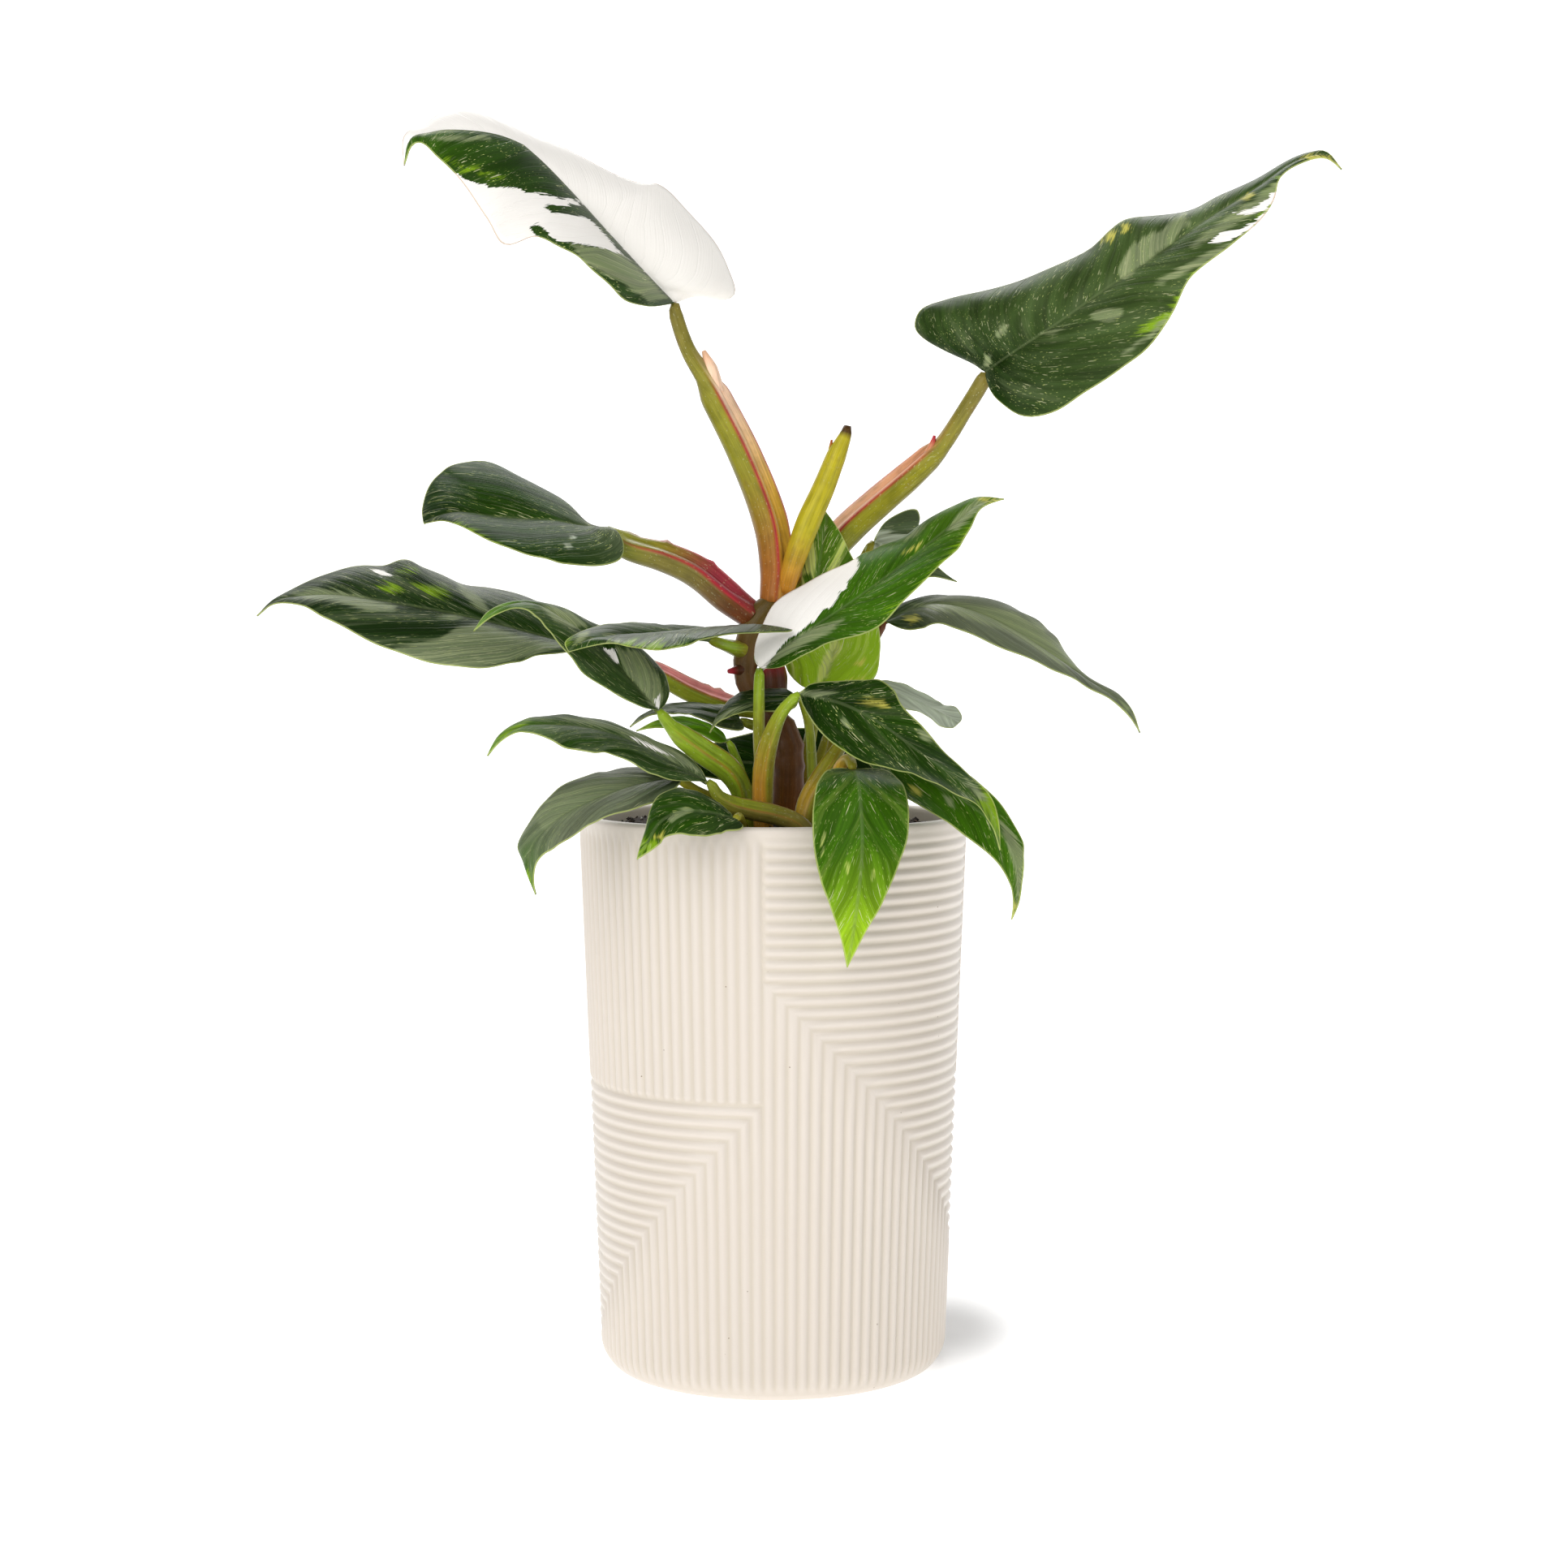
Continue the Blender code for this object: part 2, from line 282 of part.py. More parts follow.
        radii=(0.7, 1.3, 1.5, 1.7, 1.7), sheath=(0, 0, 0, 0, 0), wave=0.3, cut=("main_stem",), face=(0.0, -0.6, 1.0)),
    "young_leaf_left": dict(
        rows=8,
        rib=[(-17, 13, -18), (-24, 17.6, -19), (-32, 19, -20.5), (-39, 18.3, -22), (-45, 16.2, -23)],
        left=[(-17, 13, -18), (-20, 12.4, -19.5), (-26, 15.4, -21.5), (-32.5, 17, -23), (-39, 17, -23.5),
              (-45, 16.2, -23)],
        right=[(-17, 13, -18), (-19, 16, -17.5), (-25, 19.4, -18), (-32.3, 20.5, -19.5), (-39, 19.3, -21.4),
               (-45, 16.2, -23)],
        stalk=[(-17, 13, -18), (-16.4, 12.2, -17.5), (-13.5, 5, -14), (-10.5, -6, -10), (-9, -17, -8), (-9, -26, -8)],
        radii=(0.7, 1.2, 1.4, 1.6, 1.6, 1.6), sheath=(0, 0, 0, 0, 0, 0), wave=0.2, cut=(), face=(0.2, -0.6, 1.0)),
    "leaf_shaded_back": dict(
        rows=10,
        rib=[(29, 0, 36), (20, 4, 37), (10, 5, 37), (0, 5.5, 36), (-10, 6.5, 34), (-20, 7, 31), (-29, 6.5, 28),
             (-35, 4.5, 26)],
        left=[(29, 0, 36), (27, -5.4, 34.5), (18, -7.2, 33.5), (8, -7.2, 33.5), (-2, -6.8, 33), (-10, -4, 31.5),
              (-17, 0.5, 30), (-24, 2, 28), (-30, 2.8, 27), (-35, 4.5, 26)],
        right=[(29, 0, 36), (30, 6, 38), (26, 12, 40), (16, 16, 41), (6, 17, 41), (-4, 16.5, 40), (-12, 15, 38),
               (-20, 13, 35), (-27, 10.8, 31), (-31, 8.5, 28.5), (-35, 4.5, 26)],
        stalk=[(29, 0, 36), (30.5, -0.6, 36), (32, -4, 35.4), (32, -10, 34.5), (30.5, -17, 33), (30, -26, 32)],
        radii=(0.8, 1.3, 1.5, 1.6, 1.6, 1.6), sheath=(0, 0, 0, 0, 0, 0), wave=0.4, cut=(), face=(0.0, -0.6, 1.0)),
}

# The stems: route from the root up (across, up, depth), with radii
STEMS = {
    "main_stem": dict(
        route=[(0.3, -26, 0), (0.3, -17, 0), (0.9, -6, 0), (1.2, 5, 0), (0.4, 14, 0), (-5.6, 23, 0), (-11.2, 31, 0),
               (-11.2, 40, 0), (-8.6, 48.5, 0), (-4.2, 54, 0), (-2.6, 56.4, 0)],
        radii=(4.2, 4.5, 4.8, 4.9, 4.6, 3.9, 3.3, 3.9, 4.4, 4.2, 2.6), cut=(), face=(0, -1, 0),
        tips=[([(-12, 35, -1), (-14.2, 34.6, -3), (-17, 34.2, -4.5)], (2.4, 1.5, 0.6)),
              ([(-5.5, 21, 0), (-3.4, 25, 0.5), (-3.2, 32, 0.8), (-4.4, 37, 0.5), (-8.5, 39.4, 0)],
               (2.4, 3.9, 4.3, 3.6, 2.0))]),
    "new_shoot": dict(
        route=[(0.6, 58.5, -1), (1.6, 63, -2.5), (3.8, 70, -3.5), (7.6, 80, -4), (12.1, 90, -4), (16, 100, -4),
               (18.8, 106.4, -4), (19.3, 108.8, -4)],
        radii=(2.4, 3.0, 3.4, 3.7, 3.4, 3.0, 1.8, 1.1), cut=("main_stem",), face=(0, -1, 0),
        tips=[([(13.8, 97, -4), (14.1, 101.5, -4), (14.5, 104.5, -4)], (1.1, 0.7, 0.3))]),
}

COLOURS = {
    "pot": ((0.84, 0.79, 0.72), 0.38),
    "soil": ((0.018, 0.014, 0.012), 0.95),
    "main_stem": ((0.23, 0.12, 0.05), 0.5),
    "new_shoot": ((0.5, 0.42, 0.03), 0.45),
}
LEAF_GREEN = ((0.045, 0.10, 0.02), 0.42)


def seen(across, up, depth):
    """The point depth mm behind the board, on the line of sight through its spot (across, up), in mm."""
    ahead = np.array((0.0, math.cos(EYE_PITCH), -math.sin(EYE_PITCH)))
    above = np.array((0.0, math.sin(EYE_PITCH), math.cos(EYE_PITCH)))
    ray = BOARD_AWAY * ahead + np.array((across, 0.0, 0.0)) + up * above
    return EYE + ray * (depth - EYE[1]) / ray[1]


def smooth_route(points, steps):
    """A smooth curve through the points, as steps + 1 points evenly spaced along it."""
    p = np.array(points, float)
    p = np.vstack((2 * p[0] - p[1], p, 2 * p[-1] - p[-2]))
    dense = []
    for a, b, c, d in zip(p[:-3], p[1:-2], p[2:-1], p[3:]):
        span = max(np.linalg.norm(c - b), 1e-9)
        start = (c - a) * span / max(np.linalg.norm(c - a), 1e-9)
        end = (d - b) * span / max(np.linalg.norm(d - b), 1e-9)
        for t in np.linspace(0, 1, 16, endpoint=False):
            dense.append((2 * t**3 - 3 * t**2 + 1) * b + (t**3 - 2 * t**2 + t) * start
                         + (3 * t**2 - 2 * t**3) * c + (t**3 - t**2) * end)
    dense.append(p[-2])
    dense = np.array(dense)
    along = np.concatenate(([0.0], np.cumsum(np.linalg.norm(np.diff(dense, axis=0), axis=1))))
    stations = np.asarray(steps) if np.ndim(steps) else np.linspace(0, 1, steps + 1)
    return np.stack([np.interp(stations * along[-1], along, dense[:, k]) for k in range(3)], axis=1)


def row_stations(control, rows):
    """Where the rows meet an edge: at its own points as far as the number of rows allows."""
    spans = np.linalg.norm(np.diff(control, axis=0), axis=1)
    at = np.concatenate(([0.0], np.cumsum(spans))) / spans.sum()
    spots = np.linspace(0, rows, len(at))
    if len(at) <= rows + 1:
        spots = np.round(spots)
    return np.interp(np.arange(rows + 1), spots, at)


def unit(v):
    return v / max(np.linalg.norm(v), 1e-9)


def new_object(name, mesh, collection, colour=None, roughness=0.5):
    obj = bpy.data.objects.new(name, mesh)
    collection.objects.link(obj)
    if colour is not None:
        material = bpy.data.materials.new(name)
        material.use_nodes = True
        shader = material.node_tree.nodes["Principled BSDF"]
        shader.inputs["Base Color"].default_value = (*colour, 1.0)
        shader.inputs["Roughness"].default_value = roughness
        shader.inputs["Metallic"].default_value = 0.0
        material.diffuse_color = (*colour, 1.0)
        mesh.materials.clear()
        mesh.materials.append(material)
    return obj


def mesh_from(name, points_mm, faces):
    mesh = bpy.data.meshes.new(name)
    mesh.from_pydata([tuple(Vector(p) * MM) for p in points_mm], [], faces)
    return mesh


def tidy(mesh, weld=0.00001, smooth=True):
    """Weld the mesh, turn its faces out, keep its one largest body and split every face into triangles."""
    bm = bmesh.new()
    bm.from_mesh(mesh)
    bmesh.ops.remove_doubles(bm, verts=bm.verts[:], dist=weld)
    bmesh.ops.dissolve_degenerate(bm, edges=bm.edges[:], dist=weld)
    bodies = []
    left = set(bm.verts)
    while left:
        body = set()
        front = [left.pop()]
        while front:
            vert = front.pop()
            body.add(vert)
            for edge in vert.link_edges:
                other = edge.other_vert(vert)
                if other in left:
                    left.discard(other)
                    front.append(other)
        bodies.append(body)
    bodies.sort(key=len)
    for body in bodies[:-1]:
        bmesh.ops.delete(bm, geom=list(body), context="VERTS")
    bmesh.ops.triangulate(bm, faces=bm.faces[:])
    bmesh.ops.recalc_face_normals(bm, faces=bm.faces[:])
    bm.to_mesh(mesh)
    bm.free()
    if smooth:
        mesh.shade_smooth()
        mesh.set_sharp_from_angle(angle=math.radians(35))


def apply_boolean(obj, cutter, operation):
    """Join or cut the object with a closed cutter, then drop the cutter."""
    modifier = obj.modifiers.new(operation.title(), "BOOLEAN")
    modifier.operation = operation
    modifier.object = cutter
    for solver in ("EXACT", "MANIFOLD"):
        modifier.solver = solver
        bpy.context.view_layer.update()
        baked = bpy.data.meshes.new_from_object(obj.evaluated_get(bpy.context.evaluated_depsgraph_get()))
        if len(baked.polygons):
            break
    obj.modifiers.clear()
    old = obj.data
    obj.data = baked
    baked.name = obj.name
    bpy.data.meshes.remove(old)
    spare = cutter.data
    bpy.data.objects.remove(cutter)
    bpy.data.meshes.remove(spare)
    tidy(baked)


def stalk_mesh(name, route, radii, sheath, face, swell=0.0, sides=STALK_SIDES, step=STALK_STEP):
    """A stalk as a loft: round where the sheath is shut, grooved and winged where it is open."""
    control = np.array([seen(*p) for p in route])
    spans = np.linalg.norm(np.diff(control, axis=0), axis=1)
    at = np.concatenate(([0.0], np.cumsum(spans))) / spans.sum()
    count = max(3, int(math.ceil(spans.sum() / step)))
    stations = np.unique(np.round(np.concatenate((np.linspace(0, 1, count + 1), at)), 3))
    keep = [stations[0]]
    for s in stations[1:]:
        if (s - keep[-1]) * spans.sum() > 1.2 or s == 1.0:
            keep.append(s)
    stations = np.array(keep)
    line = smooth_route(control, stations)
    radius = np.interp(stations, at, radii) + swell
    opening = np.interp(stations, at, sheath)
    face = unit(np.array(face, float))
    points = []
    for i, centre in enumerate(line):
        ahead = unit(line[min(i + 1, len(line) - 1)] - line[max(i - 1, 0)])
        front = unit(face - ahead * face.dot(ahead))
        side = np.cross(ahead, front)
        for k in range(sides):
            angle = 2 * math.pi * k / sides
            bend = math.cos(angle)
            reach = radius[i]
            if k == 0:
                reach *= 1 - 0.55 * opening[i]
            elif k in (1, sides - 1):
                reach *= 1 + 0.12 * opening[i]
            points.append(centre + reach * (bend * front + math.sin(angle) * side))
    faces = []
    for i in range(len(line) - 1):
        for k in range(sides):
            a, b = i * sides + k, i * sides + (k + 1) % sides
            faces.append((a, b, b + sides, a + sides))
    faces.append(tuple(range(sides - 1, -1, -1)))
    last = (len(line) - 1) * sides
    faces.append(tuple(range(last, last + sides)))
    mesh = mesh_from(name, points, faces)
    tidy(mesh)
    return mesh


def blade_mesh(name, leaf, across=ACROSS):
    """A blade lofted between its rib and its two edges: veins sweep forward, and the edge waves."""
    rows = leaf.get("rows", ROWS)
    control = {key: np.array([seen(*p) for p in leaf[key]]) for key in ("rib", "left", "right")}
    edge_at = {key: row_stations(control[key], rows) for key in ("left", "right")}
    even = 0.5 * (edge_at["left"] + edge_at["right"])
    rib = smooth_route(control["rib"], even ** 1.35)
    edges = {key: smooth_route(control[key], edge_at[key]) for key in ("left", "right")}
    pull = 0.85 * np.clip((even - 0.7) / 0.3, 0, 1)[:, None]
    rib += pull * (0.5 * (edges["left"] + edges["right"]) - rib)
    ribs_ahead = np.gradient(rib, axis=0)
    points = [rib[0], rib[-1]]
    index = {}
    for i in range(1, rows):
        index[(i, 0)] = len(points)
        points.append(rib[i])
    for sign, key in ((-1, "left"), (1, "right")):
        edge = edges[key]
        for i in range(1, rows):
            reach = edge[i] - rib[i]
            length = np.linalg.norm(reach)
            normal = unit(np.cross(reach, ribs_ahead[i])) * sign
            for j in range(1, len(across)):
                u = across[j]
                lift = 0.16 * length * u * (1 - u) * 4 * 0.5
                ripple = leaf["wave"] * u * u * math.sin(4.2 * math.pi * even[i] + (0.4 if sign > 0 else 1.7))
                fade = min(1.0, 5 * even[i], 3.5 * (1 - even[i]))
                index[(i, sign * j)] = len(points)
                points.append(rib[i] + u * reach + (lift + ripple * fade) * normal)
    faces = []
    for sign in (-1, 1):
        for j in range(len(across) - 1):
            for i in range(rows):
                quad = []
                for row, column in ((i, j), (i + 1, j), (i + 1, j + 1), (i, j + 1)):
                    corner = 0 if row == 0 else 1 if row == rows else index[(row, sign * column)]
                    if corner not in quad:
                        quad.append(corner)
                if sign < 0:
                    quad.reverse()
                if len(quad) == 4:
                    faces.append((quad[0], quad[1], quad[2]))
                    faces.append((quad[0], quad[2], quad[3]))
                elif len(quad) == 3:
                    faces.append(tuple(quad))
    return mesh_from(name, points, faces)


def thicken(obj):
    solidify = obj.modifiers.new("Solidify", "SOLIDIFY")
    solidify.thickness = BLADE * MM
    solidify.offset = 0.0
    bpy.context.view_layer.update()
    baked = bpy.data.meshes.new_from_object(obj.evaluated_get(bpy.context.evaluated_depsgraph_get()))
    obj.modifiers.clear()
    old = obj.data
    obj.data = baked
    baked.name = obj.name
    bpy.data.meshes.remove(old)
    tidy(baked, weld=0.000001)


def wall_radius(z):
    return BASE_RADIUS + (RIM_RADIUS - BASE_RADIUS) * z / POT_HEIGHT


def relief_lines():
    """Ridge and groove lines of one half of the pot, in ribs: 0 to 50 across, up in rib pitches."""
    half = RIBS_AROUND // 2
    panel = half // 2
    top, foot = RELIEF_TOP, RELIEF_FOOT
    stops = np.arange(0, half + 0.01, FINE_RIBS)
    lines = []

    def run(s0, s1, v, level):
        inner = [s for s in stops if s0 + 0.8 < s < s1 - 0.8]
        lines.append(([(s, v) for s in [s0, *inner, s1]], level))

    def drop(s, v1, v0, level):
        lines.append(([(s, v1), (s, v0)], level))

    for k in range(panel):
        drop(k + 0.5, top - 0.15, LEFT_STEP + 0.6, 0.0)
        if k:
            drop(k, top - 0.15, LEFT_STEP, -1.0)
    for k in range(panel + 1):
        v = LEFT_STEP - k
        if v > foot + 0.7:
            run(0.0, panel - k, v, -1.0)
            if k:
                drop(panel - k, v, foot + 0.6, -1.0)
        if v - 0.5 > foot + 0.9:
            run(0.35, panel - k - 0.5, v - 0.5, 0.0)
            drop(panel - k - 0.5, v - 0.5, foot + 0.6, 0.0)
    v = RIGHT_STEP + 1
    while v < top - 0.3:
        run(float(panel), float(half), v, -1.0)
        v += 1
    v = RIGHT_STEP + 0.5
    while v < top - 0.2:
        run(panel + 0.35, half - 0.35, v, 0.0)
        v += 1
    for k in range(panel):
        v = RIGHT_STEP - k
        if k:
            drop(panel + k, v, foot + 0.6, -1.0)
        run(panel + k, half, v, -1.0)
        drop(panel + k + 0.5, v - 0.5, foot + 0.6, 0.0)
        if panel + k + 0.5 < half - 1:
            run(panel + k + 0.5, half - 0.35, v - 0.5, 0.0)
    for s in (0, panel, half):
        levels = sorted({round(p[1], 4) for line, _ in lines for p in line if abs(p[0] - s) < 1e-6})
        other = half - s if s != panel else s
        levels = sorted(set(levels) | {round(p[1], 4) for line, _ in lines for p in line if abs(p[0] - other) < 1e-6})
        levels = [v for v in levels if foot + 0.3 < v < top - 0.1]
        lines.append(([(s, v) for v in [foot + 0.3, *levels, top - 0.1]], -1.0))
    coarse = np.linspace(0, half, LIP_SIDES // 2 + 1)
    lines.append(([(s, top + 0.3) for s in coarse], -0.5))
    lines.append(([(s, foot - 0.6) for s in coarse], -0.5))
    lines.append(([(0, top + 0.3), (0, top), (0, top - 0.1)], -0.5))
    lines.append(([(half, top + 0.3), (half, top), (half, top - 0.1)], -0.5))
    lines.append(([(0, foot - 0.6), (0, foot), (0, foot + 0.3)], -0.5))
    lines.append(([(half, foot - 0.6), (half, foot), (half, foot + 0.3)], -0.5))
    lines.append(([(s, top) for s in coarse], -0.5))
    lines.append(([(s, foot) for s in coarse], -0.5))
    return lines


def pot_object(collection):
    """The ribbed wall from its ridge and groove lines, closed by the lip, the inside and the base."""
    half = RIBS_AROUND // 2
    verts, edges, level = [], [], {}
    found = {}
    for line, height in relief_lines():
        ids = []
        for s, v in line:
            key = (round(s, 4), round(v, 4))
            if key not in found:
                found[key] = len(verts)
                verts.append(Vector((s, v)))
                level[found[key]] = height
            ids.append(found[key])
        edges += [(a, b) for a, b in zip(ids, ids[1:]) if a != b]
    out, _, faces, origin, _, _ = delaunay_2d_cdt(verts, edges, [], 0, 1e-5)
    points, polygons = [], []
    for turn in (0.0, math.pi):
        start = len(points)
        for spot, source in zip(out, origin):
            height = level[source[0]] if source else -0.5
            z = spot.y * RIB_PITCH
            angle = math.radians(PANEL_EDGE_DEG) + spot.x / RIBS_AROUND * 2 * math.pi + turn
            r = wall_radius(z) + RIB_DEPTH * height
            points.append((r * math.sin(angle), -r * math.cos(angle), z))
        polygons += [tuple(start + i for i in face) for face in faces]
    z_lip = (RELIEF_TOP + 0.3) * RIB_PITCH
    z_foot = (RELIEF_FOOT - 0.6) * RIB_PITCH
    rings = [(wall_radius(z_lip) - 0.5 * RIB_DEPTH, z_lip),
             (RIM_RADIUS - 1.0, POT_HEIGHT - 0.35),
             (RIM_RADIUS - 2.1, POT_HEIGHT),
             (RIM_RADIUS - WALL + 0.9, POT_HEIGHT - 0.3),
             (RIM_RADIUS - WALL, POT_HEIGHT - LIP_BAND),
             (wall_radius(FLOOR) - WALL, FLOOR + 3.0),
             (wall_radius(FLOOR) - WALL - 3.0, FLOOR)]
    foot = [(wall_radius(z_foot) - 0.5 * RIB_DEPTH, z_foot)]
    for a in (15, 45, 70, 90):
        bend = math.radians(a)
        foot.append((foot[0][0] - BASE_ROUND * (1 - math.cos(bend)), z_foot * (1 - math.sin(bend))))
    for profile in (rings, foot):
        start = len(points)
        for r, z in profile:
            for i in range(LIP_SIDES):
                angle = math.radians(PANEL_EDGE_DEG) + 2 * math.pi * i / LIP_SIDES
                points.append((r * math.sin(angle), -r * math.cos(angle), z))
        for row in range(len(profile) - 1):
            for i in range(LIP_SIDES):
                a = start + row * LIP_SIDES + i
                b = start + row * LIP_SIDES + (i + 1) % LIP_SIDES
                polygons.append((a, b, b + LIP_SIDES, a + LIP_SIDES))
        last = start + (len(profile) - 1) * LIP_SIDES
        polygons.append(tuple(range(last, last + LIP_SIDES)))
    mesh = mesh_from("pot", points, polygons)
    tidy(mesh)
    return new_object("pot", mesh, collection, *COLOURS["pot"])


def soil_object(collection):
    """The soil fills the pot to just below the rim, with a crumbly top and a plain hole for each stalk."""
    sides = 30
    rings = []
    for z in (FLOOR + GAP, FLOOR + 3.3):
        inner = wall_radius(FLOOR) - WALL - GAP - (3.0 if z < FLOOR + 2 else 0.0)
        rings.append([(inner, z)] * sides)
    top_gap = RIM_RADIUS - WALL - GAP
    edge = wall_radius(FLOOR) - WALL - GAP
    share = (SOIL_TOP - 1.2 - FLOOR - 3.3) / (POT_HEIGHT - LIP_BAND - FLOOR - 3.0)
    rings.append([(edge + (top_gap - edge) * share - 0.1, SOIL_TOP - 1.2)] * sides)
    for part in (0.97, 0.8, 0.5):
        ring = []
        for i in range(sides):
            angle = 2 * math.pi * i / sides
            crumb = 0.5 * math.sin(5 * angle + 9 * part) + 0.4 * math.sin(11 * angle - 17 * part)
            ring.append((part * rings[2][0][0], SOIL_TOP + crumb))
        rings.append(ring)
    points = []
    for ring in rings:
        for i, (r, z) in enumerate(ring):
            angle = 2 * math.pi * i / sides
            points.append((r * math.cos(angle), r * math.sin(angle), z))
    faces = [tuple(range(sides - 1, -1, -1))]
    for row in range(len(rings) - 1):
        for i in range(sides):
            a, b = row * sides + i, row * sides + (i + 1) % sides
            faces.append((a, b, b + sides, a + sides))
    last = (len(rings) - 1) * sides
    centre = len(points)
    points.append((0.0, 0.0, SOIL_TOP))
    faces += [(last + i, last + (i + 1) % sides, centre) for i in range(sides)]
    mesh = mesh_from("soil", points, faces)
    tidy(mesh)
    return new_object("soil", mesh, collection, *COLOURS["soil"])


def stalk_of(name, swell=0.0):
    """The stalk or stem of a named piece, made wider by swell for a cutter."""
    if name in STEMS:
        stem = STEMS[name]
        shut = (0.0,) * len(stem["radii"])
        return stalk_mesh(name, stem["route"], stem["radii"], shut, stem["face"], swell)
    leaf = LEAVES[name]
    return stalk_mesh(name, leaf["stalk"], leaf["radii"], leaf["sheath"], leaf["face"], swell)


def tip_of(tip, collection):
    """A small free tip on a sheath or stem."""
    route, radii = tip
    mesh = stalk_mesh("tip", route, radii, (0.0,) * len(radii), (0, -1, 0), sides=6)
    return new_object("tip", mesh, collection)


def main():
    for obj in list(bpy.data.objects):
        bpy.data.objects.remove(obj)
    collection = bpy.data.collections.new(COLLECTION)
    bpy.context.scene.collection.children.link(collection)

    pot_object(collection)
    soil = soil_object(collection)
    rooted = []
    for name, stem in STEMS.items():
        obj = new_object(name, stalk_of(name), collection, *COLOURS[name])
        for tip in stem.get("tips", ()):
            apply_boolean(obj, tip_of(tip, collection), "UNION")
        for other in stem["cut"]:
            apply_boolean(obj, new_object("cutter", stalk_of(other, GAP), collection), "DIFFERENCE")
        if stem["route"][0][1] < -20:
            rooted.append(name)
    for name, leaf in LEAVES.items():
        obj = new_object(name, blade_mesh(name, leaf), collection, *LEAF_GREEN)
        thicken(obj)
        apply_boolean(obj, new_object("stalk", stalk_of(name), collection), "UNION")
        for tip in leaf.get("tips", ()):
            apply_boolean(obj, tip_of(tip, collection), "UNION")
        for other in leaf["cut"]:
            apply_boolean(obj, new_object("cutter", stalk_of(other, GAP), collection), "DIFFERENCE")
        if leaf["stalk"][-1][1] < -20:
            rooted.append(name)
    for name in rooted:
        apply_boolean(soil, new_object("cutter", stalk_of(name, GAP), collection), "DIFFERENCE")


main()
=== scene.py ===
"""Dresses the potted white princess philodendron: leaves, stalks, ribbed pot, soil, light and camera.

Metres, +Z up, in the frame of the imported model. The plant's routes lie on the same board as in the
part's source: a point (across, up, depth) is on the line of sight from EYE through that spot of the
board, depth mm behind it. Marks on the leaves are outlines on the same board.
"""
import math
import random
import bmesh
import bpy
import numpy as np
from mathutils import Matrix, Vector, noise
from mathutils.geometry import delaunay_2d_cdt


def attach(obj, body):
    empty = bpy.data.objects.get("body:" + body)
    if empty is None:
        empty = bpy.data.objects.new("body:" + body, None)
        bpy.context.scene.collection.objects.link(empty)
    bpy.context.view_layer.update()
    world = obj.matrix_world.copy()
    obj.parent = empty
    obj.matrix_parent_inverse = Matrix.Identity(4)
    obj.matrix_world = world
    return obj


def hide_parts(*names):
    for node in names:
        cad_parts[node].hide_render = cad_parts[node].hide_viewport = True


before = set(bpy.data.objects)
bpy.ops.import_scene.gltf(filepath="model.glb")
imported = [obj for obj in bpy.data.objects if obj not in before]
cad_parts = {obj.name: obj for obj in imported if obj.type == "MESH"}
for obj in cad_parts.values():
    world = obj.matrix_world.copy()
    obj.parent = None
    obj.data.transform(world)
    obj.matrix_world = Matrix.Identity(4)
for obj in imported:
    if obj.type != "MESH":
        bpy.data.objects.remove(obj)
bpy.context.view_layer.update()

MM = 0.001

# Pot: mm, but the weld in m; the lip's points as distance in from a wall and below the rim
POT_HEIGHT = 168.0
RIM_RADIUS = 59.0
BASE_RADIUS = 52.5
WALL = 4.2
FLOOR = 5.0
BASE_ROUND = 5.5
BEND_HEIGHT = 8.4
LIP_SIDES = 180
FOOT_RINGS = 7
LIP_TONE = -0.3
WELD = 0.00002
OUTER_LIP = ((0.45, 1.4), (0.55, 0.8), (0.9, 0.3), (1.5, 0.0))
INNER_LIP = ((1.4, 0.0), (0.6, 0.35), (0.15, 1.0), (0.0, 2.0), (-0.3, 12.0))

# The pot's relief: ribs counted round the pot, heights in rib pitches
RIBS_AROUND = 100
HALF = RIBS_AROUND // 2
PANEL = HALF // 2
RIB_PITCH = 3.5
RIB_DEPTH = 0.8
RIB_SHARES = 8
RIB_SHARPNESS = 1.3
PANEL_EDGE_DEG = -92.9
LEFT_STEP = 25.05
RIGHT_STEP = 35.3
RELIEF_TOP = 47.3
RELIEF_FOOT = 0.6
RELIEF_FADE = 1.4
FOOT_HASTE = 1.2
RUN_STOP = 5.0 / 3.0
RUN_CLEAR = 0.9
DROP_STOP = 5

# Soil: the heights, frequencies and seeds of its lumps, and how its loose pieces share out
SOIL_TOP = 164.9
SOIL_GAP = 0.35
SOIL_RADIUS = RIM_RADIUS - WALL - 0.7
EDGE_DIP = 1.3
DIP_FROM = 0.75
DIP_TO = 0.95
SOIL_SIDES = 120
SOIL_RINGS = 40
LUMPS = ((1.6, 0.09, 3.0), (1.1, 0.33, 7.0))
GRAIN = (0.5, 0.9, 1.0)
LOOSE_PIECES = 900
CRUMBS_UP_TO = 0.86
BARK_UP_TO = 0.965

# The board and the eye
EYE = np.array((3.3, -848.0, 227.5))
EYE_PITCH = math.radians(3.41)
BOARD_AWAY = 848.0
AHEAD = np.array((0.0, math.cos(EYE_PITCH), -math.sin(EYE_PITCH)))
ABOVE = np.array((0.0, math.sin(EYE_PITCH), math.cos(EYE_PITCH)))
LENS = 64.12
SENSOR = 36.0

